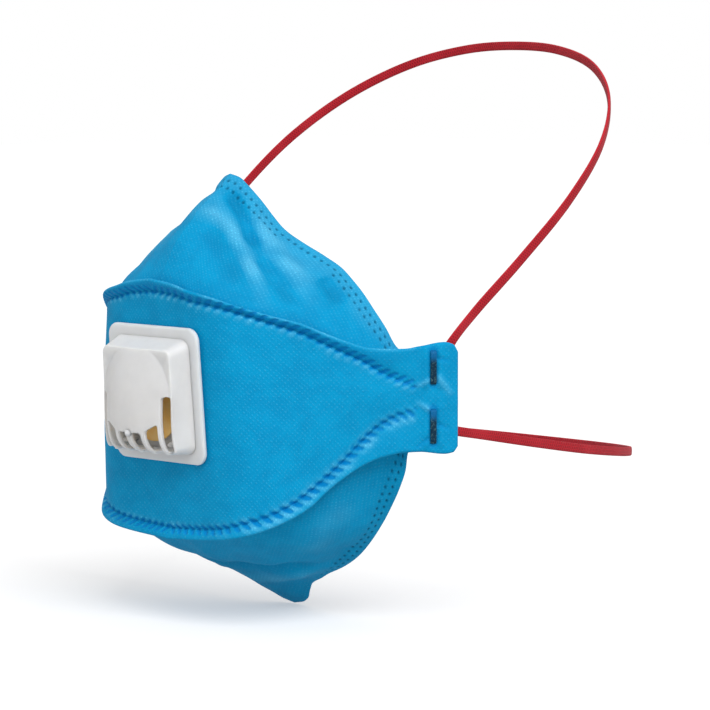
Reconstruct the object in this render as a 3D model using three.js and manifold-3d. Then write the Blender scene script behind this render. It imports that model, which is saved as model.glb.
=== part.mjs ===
// Valved folding respirator mask, opened as worn, with two elastic head straps.
// Millimetres, +Z up, the front of the mask towards -Y, the wearer's left towards +X.
// The origin lies at the middle of the face opening.
import * as THREE from "three";
import Module from "manifold-3d";
import { mergeVertices } from "three/examples/jsm/utils/BufferGeometryUtils.js";

const wasm = await Module();
wasm.setup();

// ---- driving dimensions ----
const FRONT_Y = -57;            // outer face of the centre panel on the middle line, at valve height
const VALVE_Z = 0.6;            // height of the middle of the valve
const FRONT_LEAN_DEG = 4.9;     // the front face leans forward at the top
const HALF_LENGTH = 99.8;       // middle line to tab end, along the centre panel
const CENTRE_THICK = 2.0;       // laminate of the centre panel
const SIDE_THICK = 1.3;         // laminate of the top and bottom panels
const SEAM_TUCK = 2.8;          // top and bottom panels start this far behind the outer face
const SEAM_CLEAR = 0.9;         // their welded edge clears the weld line of the centre panel
const PANEL_REACH = 88;         // top and bottom panels end here, behind the tabs
const FIN_FLARE = 1.6;          // the seam fin leans outward
const WELD_DEPTH = 0.6;         // the weld line lies lower than the panel
const PILLOW = 0.9;             // soft swelling of the centre panel beside the valve
const PANEL_CROWN = 5;          // swelling of the top and bottom panels
const GAP = 0.3;                // clearance between neighbouring pieces
const MERGE = 1e-4;             // points closer than this are one point
const LEAN_SPREAD = 1.35;       // the corners spread outward by this share of the lean
const FIN_SHOULDER = 0.85;      // share of the flare already reached half way up the fin
const FIELD_EDGE = 0.8;         // the weld hollow is this wide beside the weld line
const FIELD_EDGE_SINK = 0.1;    // and still this deep at its rim

// where the forms of the panels fade in or out, as distances along
const FADE = {
  lean: { from: 30, to: 70 },
  leanSpread: { from: 6, to: 22 },
  fin: { from: 78, to: 88 },
  pillow: { from: 20, to: 36 },
  crown: { from: 35, to: 80 },
  crownSpread: { from: 0, to: 30 },
};

// swelling of the top and bottom panels: its profile over the depth, and the way it goes
const CROWN = { profile: 2.55, topRise: 0.75, topFall: 1.25, aside: 0.35, forward: 0.65, upright: 0.75 };

// where the grids of the panels have their points
const CENTRE_STATIONS = { first: 1.6, last: 94.4, count: 30, tabEnd: [96.6, 98.4, 99.3] };
const FIELD_SHARES = [0.12, 0.28, 0.42, 0.58, 0.72, 0.88];
const SIDE_STATIONS = { middle: [1.4, 4, 6.8, 9.6, 12.6, 16], first: 19.4, count: 21 };
const SIDE_SHARES = [0, 0.1, 0.22, 0.36, 0.5, 0.64, 0.78, 0.9, 1];

// heading of the plan curve of the centre panel, by distance from the middle line
const PLAN = [
  { along: 0, heading: 0 },
  { along: 13.5, heading: 1 },
  { along: 20.5, heading: 9 },
  { along: 36, heading: 45 },
  { along: 48, heading: 49 },
  { along: 76, heading: 51 },
  { along: 102, heading: 53 },
];

// heights of the weld lines and of the fin crests on the centre panel
const SEAMS = [
  { along: 0, topWeld: 32.8, topCrest: 36.6, lowWeld: -42.4, lowCrest: -45.9 },
  { along: 13, topWeld: 31.7, topCrest: 35.1, lowWeld: -41.5, lowCrest: -44.9 },
  { along: 20, topWeld: 30.4, topCrest: 33.7, lowWeld: -40.4, lowCrest: -43.9 },
  { along: 28, topWeld: 29.0, topCrest: 31.7, lowWeld: -38.5, lowCrest: -42.2 },
  { along: 36, topWeld: 26.7, topCrest: 28.9, lowWeld: -36.2, lowCrest: -39.7 },
  { along: 45, topWeld: 23.5, topCrest: 25.9, lowWeld: -32.6, lowCrest: -36.4 },
  { along: 52, topWeld: 20.9, topCrest: 23.9, lowWeld: -28.6, lowCrest: -33.0 },
  { along: 58, topWeld: 17.8, topCrest: 21.1, lowWeld: -24.3, lowCrest: -28.4 },
  { along: 65, topWeld: 14.4, topCrest: 18.2, lowWeld: -18.3, lowCrest: -23.5 },
  { along: 71, topWeld: 11.5, topCrest: 16.3, lowWeld: -12.0, lowCrest: -19.9 },
  { along: 76, topWeld: 8.3, topCrest: 15.8, lowWeld: -7.8, lowCrest: -17.9 },
  { along: 83, topWeld: 5.3, topCrest: 15.7, lowWeld: -4.6, lowCrest: -16.6 },
  { along: 88, topWeld: 3.6, topCrest: 16.4, lowWeld: -3.8, lowCrest: -16.5 },
  { along: 95.5, topWeld: 3.4, topCrest: 17.6, lowWeld: -3.6, lowCrest: -17.2 },
  { along: 98.4, topWeld: 3.4, topCrest: 16.8, lowWeld: -3.6, lowCrest: -16.7 },
  { along: 99.8, topWeld: 3.4, topCrest: 14.5, lowWeld: -3.6, lowCrest: -14.8 },
];

// free edge of the top panel, from the nose peak to behind the tab
const TOP_EDGE = [
  { along: 0, x: 0, y: -26.7, z: 68.5 },
  { along: 4, x: 3.5, y: -25.8, z: 67.4 },
  { along: 8, x: 6.6, y: -24.6, z: 64.6 },
  { along: 13.6, x: 10, y: -23, z: 60.7 },
  { along: 20, x: 14, y: -21.3, z: 55.8 },
  { along: 27, x: 18.5, y: -19.5, z: 50.8 },
  { along: 35, x: 24.5, y: -17.3, z: 46.5 },
  { along: 43, x: 31.5, y: -14.9, z: 42.7 },
  { along: 49, x: 36.5, y: -13.1, z: 39.8 },
  { along: 55, x: 41, y: -12, z: 35.9 },
  { along: 60.5, x: 44.5, y: -11.1, z: 32.1 },
  { along: 67, x: 48.5, y: -10.2, z: 26.6 },
  { along: 73.5, x: 52, y: -9.4, z: 21.5 },
  { along: 80, x: 55.5, y: -8.6, z: 16 },
  { along: 88, x: 62.5, y: -5.2, z: 11 },
];

// free edge of the bottom panel, from the middle of the chin to behind the tab
const BOTTOM_EDGE = [
  { along: 0, x: 0, y: -3.2, z: -64.6 },
  { along: 16, x: 16, y: -3.2, z: -62.8 },
  { along: 22, x: 21.5, y: -3.4, z: -60.1 },
  { along: 29, x: 28, y: -3.0, z: -56.6 },
  { along: 36, x: 34, y: -3.1, z: -52.9 },
  { along: 46, x: 42, y: -3.9, z: -46.6 },
  { along: 53.5, x: 47, y: -4.3, z: -41.1 },
  { along: 62, x: 52, y: -5.5, z: -34.5 },
  { along: 69.5, x: 56, y: -6.4, z: -28 },
  { along: 75, x: 58.5, y: -6.9, z: -23.2 },
  { along: 81, x: 60.5, y: -7.7, z: -17.4 },
  { along: 88, x: 63.5, y: -5.2, z: -11 },
];

// how far the chin tab drops below that edge
const CHIN_TAB = [
  { along: 0, drop: 7.9 },
  { along: 4, drop: 7.5 },
  { along: 7, drop: 6.2 },
  { along: 10, drop: 3.2 },
  { along: 13, drop: 0.8 },
  { along: 17, drop: 0 },
  { along: 100, drop: 0 },
];
const CHIN_TAB_BACK = 0.66;     // the tab leans back by this share of its drop
const CHIN_TAB_FROM = 0.72;     // share of the panel's depth where the tab begins to show

// ---- valve, in its own plane: x to the wearer's left, up, out ----
const FLANGE = { halfWidth: 20.6, halfHeight: 21.5, radius: 4.2, back: GAP, front: 1.8 };
const ORIFICE = { up: -2.5, radius: 8.8, ringRadius: 10.4, ringTop: 2.9, spigotBack: -2.9 };
const PANEL_HOLE_RADIUS = 11;
const BORE_REACH = 6;            // the hole cutters reach this far both ways
const BAR = { width: 1.4, depth: 1.6, overlap: 0.5 };
const HINGE_PAD = { halfWidth: 7, low: 9.2, high: 12.8, radius: 1, back: 1 };
const FLAP = { halfWidth: 12.2, top: 13.6, back: 3.2, front: 4.0, topRadius: 3 };
const COVER = { wall: 1.3, foot: FLANGE.front + GAP, footHalfWidth: 17.2, footTop: 18, footLow: -18.2, footRadius: 3.6 };
const COVER_FACE = { halfWidthTop: 15.6, halfWidthLow: 16.3, top: 15.6, low: -17.4, radius: 2.4 };
const DISC = { up: 1.5, radius: 15, lowHalfWidth: 15.6, roundness: 0.85 };
const COVER_RINGS = [0.12, 0.26, 0.4, 0.54, 0.66, 0.76, 0.85, 0.92, 0.97];
const COVER_EDGE_DROP = 0.5;     // round edge of the cover's front
const COVER_POINTS = { perCorner: 5, perSide: 9 };
const GRILLE_CUTTER = { back: 5.5, front: 20 };

// section of the cover on its middle line, and the height of its side edges
const COVER_SECTION = [
  { up: -18.2, out: 7.4, edge: 7.4 },
  { up: -17.4, out: 9.0, edge: 8.6 },
  { up: -16, out: 11.4, edge: 9.3 },
  { up: -14, out: 13.2, edge: 9.7 },
  { up: -11.6, out: 14.2, edge: 9.9 },
  { up: -8, out: 14.5, edge: 9.9 },
  { up: -3, out: 14.3, edge: 9.7 },
  { up: 2, out: 13.7, edge: 9.4 },
  { up: 7, out: 12.5, edge: 9.2 },
  { up: 12, out: 10.8, edge: 9.1 },
  { up: 16.5, out: 9.1, edge: 9.1 },
];

// the openings of the grille on the wearer's left; the other side mirrors them
const OPENINGS = [
  { inner: 1.1, outer: 5.2, innerTop: -10.4, outerTop: -10.4, low: -15.3 },
  { inner: 6.6, outer: 11.3, innerTop: -9.6, outerTop: -7.4, low: -15.3 },
  { inner: 12.4, outer: 15.7, innerTop: 1.0, outerTop: 1.0, low: -16.6 },
];
const OPENING_CORNER = 0.9;
const KNOB = { up: -10.4, radius: 1.25, rise: 1.0 };

// ---- straps and staples ----
const STRAP = { width: 3.0, thick: 1.2, steps: 72, depthBehindFace: 3.3 };
const STAPLE = { along: 92, width: 1.9, wire: 0.7, reach: 5.2, clinch: 3.2 };
const STAPLES = [
  { name: "upper", centreZ: 9.8, length: 10.6 },
  { name: "lower", centreZ: -8.5, length: 10.8 },
];
// strap under the tab: distance along the tab and height
const UPPER_UNDER_TAB = [
  { along: 92, z: 7.0 },
  { along: 94.5, z: 10.8 },
  { along: 98.0, z: 17.0 },
];
const LOWER_UNDER_TAB = [
  { along: 89.8, z: -8.4 },
  { along: 93, z: -9.0 },
  { along: 99.0, z: -10.3 },
];
// free run of each strap round the head: half width and lift at each reach behind the tab
const UPPER_RUN = { riseDeg: 40.8, rows: [
  { reach: 14, halfWidth: 71.2, lift: 0 },
  { reach: 38, halfWidth: 74, lift: 0 },
  { reach: 66, halfWidth: 75.5, lift: 0 },
  { reach: 92, halfWidth: 71.5, lift: 0 },
  { reach: 114, halfWidth: 60, lift: 0 },
  { reach: 130, halfWidth: 42, lift: 0 },
  { reach: 138, halfWidth: 21, lift: 0 },
  { reach: 140, halfWidth: 0, lift: 0 },
] };
const LOWER_RUN = { riseDeg: -10.4, rows: [
  { reach: 12, halfWidth: 72.6, lift: 0 },
  { reach: 34, halfWidth: 74, lift: 0 },
  { reach: 60, halfWidth: 73.5, lift: 0.4 },
  { reach: 84, halfWidth: 68, lift: 1.5 },
  { reach: 104, halfWidth: 56, lift: 2.7 },
  { reach: 118, halfWidth: 39, lift: 3.5 },
  { reach: 125.5, halfWidth: 20, lift: 3.9 },
  { reach: 127.5, halfWidth: 0, lift: 4 },
] };

// ---- small mathematics ----
const radians = (d) => (d * Math.PI) / 180;
const LEAN = Math.tan(radians(FRONT_LEAN_DEG));

function smooth(from, to, x) {
  const t = Math.min(1, Math.max(0, (x - from) / (to - from)));
  return t * t * (3 - 2 * t);
}

// how far one of the fades has gone at a distance along
const faded = (fade, reach) => smooth(fade.from, fade.to, reach);

// monotone cubic reading of one column of a table
function reader(table, key, column) {
  const xs = table.map((row) => row[key]);
  const ys = table.map((row) => row[column]);
  const last = xs.length - 1;
  const step = xs.slice(1).map((x, i) => x - xs[i]);
  const rise = step.map((h, i) => (ys[i + 1] - ys[i]) / h);
  const slope = xs.map((_, i) => {
    if (i === 0) return rise[0];
    if (i === last) return rise[last - 1];
    if (rise[i - 1] * rise[i] <= 0) return 0;
    const a = 2 * step[i] + step[i - 1];
    const b = step[i] + 2 * step[i - 1];
    return (a + b) / (a / rise[i - 1] + b / rise[i]);
  });
  return (value) => {
    const x = Math.min(xs[last], Math.max(xs[0], value));
    let i = 0;
    while (i < last - 1 && x > xs[i + 1]) i += 1;
    const t = (x - xs[i]) / step[i];
    const t2 = t * t;
    const t3 = t2 * t;
    return (2 * t3 - 3 * t2 + 1) * ys[i] + (t3 - 2 * t2 + t) * step[i] * slope[i]
      + (3 * t2 - 2 * t3) * ys[i + 1] + (t3 - t2) * step[i] * slope[i + 1];
  };
}

function spread(from, to, count) {
  return Array.from({ length: count }, (_, i) => from + ((to - from) * i) / (count - 1));
}

// ---- plan curve of the centre panel ----
const headingAt = reader(PLAN, "along", "heading");
const PLAN_STEP = 0.25;
const planTrack = [{ x: 0, y: FRONT_Y }];
for (let a = PLAN_STEP; a <= PLAN[PLAN.length - 1].along; a += PLAN_STEP) {
  const h = radians(headingAt(a - PLAN_STEP / 2));
  const before = planTrack[planTrack.length - 1];
  planTrack.push({ x: before.x + Math.cos(h) * PLAN_STEP, y: before.y + Math.sin(h) * PLAN_STEP });
}

// a point of the outer face at a signed distance along and a height, moved out by `out`
function onFace(along, z, out) {
  const side = Math.sign(along) || 1;
  const reach = Math.abs(along);
  const i = Math.min(planTrack.length - 2, Math.floor(reach / PLAN_STEP));
  const t = reach / PLAN_STEP - i;
  const x = planTrack[i].x + (planTrack[i + 1].x - planTrack[i].x) * t;
  const y = planTrack[i].y + (planTrack[i + 1].y - planTrack[i].y) * t;
  const h = radians(headingAt(reach));
  const lean = LEAN * (VALVE_Z - z) * (1 - faded(FADE.lean, reach));
  const spreadOut = LEAN_SPREAD * lean * faded(FADE.leanSpread, reach);
  return new THREE.Vector3(
    side * (x + spreadOut + out * Math.sin(h)),
    y + lean - out * Math.cos(h),
    z,
  );
}

// ---- solids from grids of points ----
function closedSheet(outer, inner) {
  const rows = outer.length;
  const cols = outer[0].length;
  const points = [...outer.flat(), ...inner.flat()];
  const at = (layer, i, j) => layer * rows * cols + i * cols + j;
  const faces = [];
  const quad = (a, b, c, d) => faces.push([a, b, c], [a, c, d]);
  for (let i = 0; i < rows - 1; i += 1) {
    for (let j = 0; j < cols - 1; j += 1) {
      quad(at(0, i, j), at(0, i, j + 1), at(0, i + 1, j + 1), at(0, i + 1, j));
      quad(at(1, i, j), at(1, i + 1, j), at(1, i + 1, j + 1), at(1, i, j + 1));
    }
  }
  for (let j = 0; j < cols - 1; j += 1) {
    quad(at(0, 0, j), at(1, 0, j), at(1, 0, j + 1), at(0, 0, j + 1));
    quad(at(0, rows - 1, j), at(0, rows - 1, j + 1), at(1, rows - 1, j + 1), at(1, rows - 1, j));
  }
  for (let i = 0; i < rows - 1; i += 1) {
    quad(at(0, i, 0), at(0, i + 1, 0), at(1, i + 1, 0), at(1, i, 0));
    quad(at(0, i, cols - 1), at(1, i, cols - 1), at(1, i + 1, cols - 1), at(0, i + 1, cols - 1));
  }
  return fromFaces(points, faces);
}

function fromFaces(points, faces) {
  const geometry = new THREE.BufferGeometry();
  geometry.setAttribute("position", new THREE.Float32BufferAttribute(points.flatMap((p) => [p.x, p.y, p.z]), 3));
  geometry.setIndex(faces.flat());
  if (signedVolume(geometry) < 0) geometry.setIndex(faces.flatMap(([a, b, c]) => [a, c, b]));
  return geometry;
}

function signedVolume(geometry) {
  const p = geometry.attributes.position;
  const index = geometry.index.array;
  const corner = (k) => new THREE.Vector3().fromBufferAttribute(p, index[k]);
  let total = 0;
  for (let k = 0; k < index.length; k += 3) {
    total += corner(k).dot(corner(k + 1).cross(corner(k + 2)));
  }
  return total / 6;
}

function toManifold(geometry) {
  const plain = new THREE.BufferGeometry();
  plain.setAttribute("position", geometry.attributes.position.clone());
  if (geometry.index) plain.setIndex(geometry.index.clone());
  const merged = mergeVertices(plain, MERGE);
  return new wasm.Manifold(new wasm.Mesh({
    numProp: 3,
    vertProperties: new Float32Array(merged.attributes.position.array),
    triVerts: new Uint32Array(merged.index.array),
  }));
}

function fromManifold(solid) {
  const mesh = solid.getMesh();
  const geometry = new THREE.BufferGeometry();
  geometry.setAttribute("position", new THREE.Float32BufferAttribute(mesh.vertProperties, 3));
  geometry.setIndex([...mesh.triVerts]);
  return geometry;
}

function join(geometries) {
  return fromManifold(wasm.Manifold.union(geometries.map(toManifold)));
}

function cut(geometry, tools) {
  return fromManifold(toManifold(geometry).subtract(wasm.Manifold.union(tools.map(toManifold))));
}

// ---- the valve plane ----
const valvePlane = new THREE.Matrix4().makeBasis(
  new THREE.Vector3(1, 0, 0),
  new THREE.Vector3(0, -Math.sin(radians(FRONT_LEAN_DEG)), Math.cos(radians(FRONT_LEAN_DEG))),
  new THREE.Vector3(0, -Math.cos(radians(FRONT_LEAN_DEG)), -Math.sin(radians(FRONT_LEAN_DEG))),
).setPosition(0, FRONT_Y, VALVE_Z);

function roundedRectangle(halfWidth, low, high, radius) {
  const shape = new THREE.Shape();
  shape.moveTo(-halfWidth + radius, low);
  shape.lineTo(halfWidth - radius, low);
  shape.absarc(halfWidth - radius, low + radius, radius, -Math.PI / 2, 0, false);
  shape.lineTo(halfWidth, high - radius);
  shape.absarc(halfWidth - radius, high - radius, radius, 0, Math.PI / 2, false);
  shape.lineTo(-halfWidth + radius, high);
  shape.absarc(-halfWidth + radius, high - radius, radius, Math.PI / 2, Math.PI, false);
  shape.lineTo(-halfWidth, low + radius);
  shape.absarc(-halfWidth + radius, low + radius, radius, Math.PI, Math.PI * 1.5, false);
  return shape;
}

function extrude(shape, back, front) {
  const geometry = new THREE.ExtrudeGeometry(shape, { depth: front - back, bevelEnabled: false, curveSegments: 10 });
  geometry.translate(0, 0, back);
  return geometry;
}

function disc(radius, up, back, front) {
  const geometry = new THREE.CylinderGeometry(radius, radius, front - back, 48);
  geometry.rotateX(Math.PI / 2);
  geometry.translate(0, up, (front + back) / 2);
  return geometry;
}

// ---- fabric panels ----
const seam = {
  topWeld: reader(SEAMS, "along", "topWeld"),
  topCrest: reader(SEAMS, "along", "topCrest"),
  lowWeld: reader(SEAMS, "along", "lowWeld"),
  lowCrest: reader(SEAMS, "along", "lowCrest"),
};

// height and outward offset of each row of the centre panel, from lower crest to upper crest
function centreRows(along) {
  const reach = Math.abs(along);
  const fin = 1 - faded(FADE.fin, reach);
  const pillow = PILLOW * fin * faded(FADE.pillow, reach);
  const lowCrest = seam.lowCrest(reach);
  const lowWeld = seam.lowWeld(reach);
  const topWeld = seam.topWeld(reach);
  const topCrest = seam.topCrest(reach);
  const fieldLow = lowWeld + FIELD_EDGE;
  const fieldHigh = topWeld - FIELD_EDGE;
  const field = FIELD_SHARES.map((share) => ({
    z: fieldLow + (fieldHigh - fieldLow) * share,
    out: pillow * Math.sin(Math.PI * share),
  }));
  return [
    { z: lowCrest, out: FIN_FLARE * fin },
    { z: (lowCrest + lowWeld) / 2, out: FIN_SHOULDER * FIN_FLARE * fin },
    { z: lowWeld, out: -WELD_DEPTH * fin },
    { z: fieldLow, out: -FIELD_EDGE_SINK * fin },
    ...field,
    { z: fieldHigh, out: -FIELD_EDGE_SINK * fin },
    { z: topWeld, out: -WELD_DEPTH * fin },
    { z: (topCrest + topWeld) / 2, out: FIN_SHOULDER * FIN_FLARE * fin },
    { z: topCrest, out: FIN_FLARE * fin },
  ];
}

function centrePanel() {
  const { first, last, count, tabEnd } = CENTRE_STATIONS;
  const half = [...spread(first, last, count), ...tabEnd, HALF_LENGTH];
  const stations = [...half.map((a) => -a).reverse(), ...half];
  const columns = stations.map((along) => centreRows(along).map((row) => ({ along, ...row })));
  const rows = columns[0].map((_, i) => columns.map((column) => column[i]));
  const outer = rows.map((row) => row.map((p) => onFace(p.along, p.z, p.out)));
  const inner = rows.map((row) => row.map((p) => onFace(p.along, p.z, p.out - CENTRE_THICK)));
  const hole = disc(PANEL_HOLE_RADIUS, ORIFICE.up, -BORE_REACH, BORE_REACH).applyMatrix4(valvePlane);
  const pricks = [-1, 1].flatMap((side) => STAPLES.flatMap((staple) => stapleLegs(side, staple, GAP)));
  return cut(closedSheet(outer, inner), [hole, ...pricks]);
}

// a point of the top (+1) or bottom (-1) panel: share 0 at the seam, 1 at the free edge
function sidePanelPoint(side, readEdge, readDrop, along, share) {
  const reach = Math.abs(along);
  const hand = Math.sign(along) || 1;
  const weld = side > 0 ? seam.topWeld(reach) : seam.lowWeld(reach);
  const start = onFace(along, weld + side * SEAM_CLEAR, -SEAM_TUCK);
  const end = new THREE.Vector3(hand * readEdge.x(reach), readEdge.y(reach), readEdge.z(reach));
  const shape = side > 0
    ? share ** CROWN.topRise * (1 - share) ** CROWN.topFall
    : share * (1 - share);
  const crown = PANEL_CROWN * CROWN.profile * shape * (1 - faded(FADE.crown, reach));
  const point = start.lerp(end, share);
  point.x += hand * crown * CROWN.aside * faded(FADE.crownSpread, reach);
  point.y -= crown * CROWN.forward;
  point.z += side * crown * CROWN.upright;
  if (readDrop) {
    const drop = readDrop(reach) * smooth(CHIN_TAB_FROM, 1, share);
    point.y += CHIN_TAB_BACK * drop;
    point.z -= drop;
  }
  return point;
}

function sidePanel(side, edgeTable, dropTable) {
  const readEdge = {
    x: reader(edgeTable, "along", "x"),
    y: reader(edgeTable, "along", "y"),
    z: reader(edgeTable, "along", "z"),
  };
  const readDrop = dropTable ? reader(dropTable, "along", "drop") : null;
  const half = [...SIDE_STATIONS.middle, ...spread(SIDE_STATIONS.first, PANEL_REACH, SIDE_STATIONS.count)];
  const stations = [...half.map((a) => -a).reverse(), ...half];
  const outer = SIDE_SHARES.map((share) => stations.map((along) => sidePanelPoint(side, readEdge, readDrop, along, share)));
  const inner = thickened(outer, SIDE_THICK, new THREE.Vector3(0, 0, 0));
  return closedSheet(outer, inner);
}

// the same grid moved by `thick` towards the side where `inside` lies
function thickened(grid, thick, inside) {
  const rows = grid.length;
  const cols = grid[0].length;
  return grid.map((row, i) => row.map((p, j) => {
    const alongRow = grid[i][Math.min(cols - 1, j + 1)].clone().sub(grid[i][Math.max(0, j - 1)]);
    const alongColumn = grid[Math.min(rows - 1, i + 1)][j].clone().sub(grid[Math.max(0, i - 1)][j]);
    const normal = alongRow.cross(alongColumn).normalize();
    if (normal.dot(inside.clone().sub(p)) < 0) normal.negate();
    return p.clone().addScaledVector(normal, thick);
  }));
}

// ---- valve pieces ----
function valveBase() {
  const plate = extrude(
    roundedRectangle(FLANGE.halfWidth, -FLANGE.halfHeight, FLANGE.halfHeight, FLANGE.radius), FLANGE.back, FLANGE.front);
  const ring = disc(ORIFICE.ringRadius, ORIFICE.up, ORIFICE.spigotBack, ORIFICE.ringTop);
  const pad = extrude(
    roundedRectangle(HINGE_PAD.halfWidth, HINGE_PAD.low, HINGE_PAD.high, HINGE_PAD.radius), HINGE_PAD.back, ORIFICE.ringTop);
  const bore = disc(ORIFICE.radius, ORIFICE.up, -BORE_REACH, BORE_REACH);
  const barLength = 2 * (ORIFICE.radius + BAR.overlap);
  const post = new THREE.BoxGeometry(BAR.width, barLength, BAR.depth);
  post.translate(0, ORIFICE.up, 0);
  const beam = new THREE.BoxGeometry(barLength, BAR.width, BAR.depth);
  beam.translate(0, ORIFICE.up, 0);
  return join([cut(join([plate, ring, pad]), [bore]), post, beam]).applyMatrix4(valvePlane);
}

function valveFlap() {
  const shape = new THREE.Shape();
  shape.moveTo(FLAP.halfWidth, ORIFICE.up);
  shape.lineTo(FLAP.halfWidth, FLAP.top - FLAP.topRadius);
  shape.absarc(FLAP.halfWidth - FLAP.topRadius, FLAP.top - FLAP.topRadius, FLAP.topRadius, 0, Math.PI / 2, false);
  shape.lineTo(-FLAP.halfWidth + FLAP.topRadius, FLAP.top);
  shape.absarc(-FLAP.halfWidth + FLAP.topRadius, FLAP.top - FLAP.topRadius, FLAP.topRadius, Math.PI / 2, Math.PI, false);
  shape.lineTo(-FLAP.halfWidth, ORIFICE.up);
  shape.absarc(0, ORIFICE.up, FLAP.halfWidth, Math.PI, 2 * Math.PI, false);
  return extrude(shape, FLAP.back, FLAP.front).applyMatrix4(valvePlane);
}

const sectionOut = reader(COVER_SECTION, "up", "out");
const sectionEdge = reader(COVER_SECTION, "up", "edge");

// height of the cover's front over a point of the valve plane
function coverHeight(x, up) {
  const above = Math.max(0, up - DISC.up);
  const chord = above > 0 ? Math.sqrt(Math.max(0, DISC.radius ** 2 - above ** 2)) : DISC.lowHalfWidth;
  const dome = chord > 0.5 ? Math.max(0, 1 - (x / chord) ** 2) ** DISC.roundness : 0;
  return sectionEdge(up) + (sectionOut(up) - sectionEdge(up)) * dome;
}

// points of a rounded rectangle, with as many corner points as `perCorner`
function outline(halfWidthLow, halfWidthTop, low, high, radius, perCorner, perSide) {
  const halfWidthAt = (up) => halfWidthLow + ((halfWidthTop - halfWidthLow) * (up - low)) / (high - low);
  const corners = [
    { x: 1, up: high - radius, from: 0 },
    { x: -1, up: high - radius, from: 90 },
    { x: -1, up: low + radius, from: 180 },
    { x: 1, up: low + radius, from: 270 },
  ];
  const arcs = corners.map((c) => spread(c.from, c.from + 90, perCorner).map((deg) => ({
    x: c.x * (halfWidthAt(c.up) - radius) + radius * Math.cos(radians(deg)),
    up: c.up + radius * Math.sin(radians(deg)),
  })));
  return arcs.flatMap((arc, k) => {
    const next = arcs[(k + 1) % arcs.length][0];
    const end = arc[arc.length - 1];
    const between = spread(0, 1, perSide + 2).slice(1, -1);
    return [...arc, ...between.map((t) => ({ x: end.x + (next.x - end.x) * t, up: end.up + (next.up - end.up) * t }))];
  });
}

// closed cap: rings from the middle of the front, over its edge and down the walls
function coverCap(shrink, footOut) {
  const { perCorner, perSide } = COVER_POINTS;
  const face = outline(COVER_FACE.halfWidthLow - shrink, COVER_FACE.halfWidthTop - shrink,
    COVER_FACE.low + shrink, COVER_FACE.top - shrink, COVER_FACE.radius, perCorner, perSide);
  const foot = outline(COVER.footHalfWidth - shrink, COVER.footHalfWidth - shrink,
    COVER.footLow + shrink, COVER.footTop - shrink, COVER.footRadius, perCorner, perSide);
  const middleUp = (COVER_FACE.low + COVER_FACE.top) / 2;
  const sheet = COVER_RINGS.map((share) => face.map((p) => {
    const x = p.x * share;
    const up = middleUp + (p.up - middleUp) * share;
    return new THREE.Vector3(x, up, coverHeight(x, up) - shrink);
  }));
  const edge = face.map((p) => new THREE.Vector3(p.x, p.up, coverHeight(p.x, p.up) - shrink - COVER_EDGE_DROP));
  const base = foot.map((p) => new THREE.Vector3(p.x, p.up, footOut));
  const rings = [...sheet, edge, base];
  const count = face.length;
  const points = [new THREE.Vector3(0, middleUp, coverHeight(0, middleUp) - shrink), ...rings.flat(),
    new THREE.Vector3(0, middleUp, footOut)];
  const at = (ring, j) => 1 + ring * count + (j % count);
  const faces = [];
  for (let j = 0; j < count; j += 1) {
    faces.push([0, at(0, j), at(0, j + 1)]);
    for (let ring = 0; ring < rings.length - 1; ring += 1) {
      faces.push([at(ring, j), at(ring + 1, j), at(ring + 1, j + 1)], [at(ring, j), at(ring + 1, j + 1), at(ring, j + 1)]);
    }
    faces.push([points.length - 1, at(rings.length - 1, j + 1), at(rings.length - 1, j)]);
  }
  return fromFaces(points, faces);
}

function grilleCutter(opening, hand) {
  const { inner, outer, innerTop, outerTop, low } = opening;
  const r = OPENING_CORNER;
  const shape = new THREE.Shape();
  shape.moveTo(inner + r, low);
  shape.lineTo(outer - r, low);
  shape.quadraticCurveTo(outer, low, outer, low + r);
  shape.lineTo(outer, outerTop - r);
  shape.quadraticCurveTo(outer, outerTop, outer - r, outerTop - (r * (outerTop - innerTop)) / (outer - inner));
  shape.lineTo(inner + r, innerTop + (r * (outerTop - innerTop)) / (outer - inner));
  shape.quadraticCurveTo(inner, innerTop, inner, innerTop - r);
  shape.lineTo(inner, low + r);
  shape.quadraticCurveTo(inner, low, inner + r, low);
  const tool = extrude(shape, GRILLE_CUTTER.back, GRILLE_CUTTER.front);
  return hand > 0 ? tool : toGeometryMirrored(tool);
}

// the same solid on the other side of the middle line
function toGeometryMirrored(geometry) {
  return fromManifold(toManifold(geometry).mirror([1, 0, 0]));
}

function valveCover() {
  const shell = cut(coverCap(0, COVER.foot), [coverCap(COVER.wall, COVER.foot - 1)]);
  const cutters = OPENINGS.flatMap((opening) => [grilleCutter(opening, 1), grilleCutter(opening, -1)]);
  const knob = new THREE.SphereGeometry(KNOB.radius, 20, 12);
  knob.translate(0, KNOB.up, coverHeight(0, KNOB.up) + KNOB.rise - KNOB.radius);
  return join([cut(shell, cutters), knob]).applyMatrix4(valvePlane);
}

// ---- staples: crown on the outer face, legs through the tab, ends clinched behind ----
function tabBox(side, centreZ, height, nearFace, farFace, width) {
  const box = new THREE.BoxGeometry(width, farFace - nearFace, height);
  const heading = radians(headingAt(STAPLE.along));
  const middle = onFace(side * STAPLE.along, centreZ, (nearFace + farFace) / 2);
  box.rotateZ(side * heading);
  box.translate(middle.x, middle.y, middle.z);
  return box;
}

function stapleLegs(side, staple, clearance) {
  const legZ = staple.length / 2 - STAPLE.wire / 2;
  return [-legZ, legZ].map((z) => tabBox(side, staple.centreZ + z, STAPLE.wire + 2 * clearance,
    -STAPLE.reach, GAP + STAPLE.wire, STAPLE.width + 2 * clearance));
}

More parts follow.
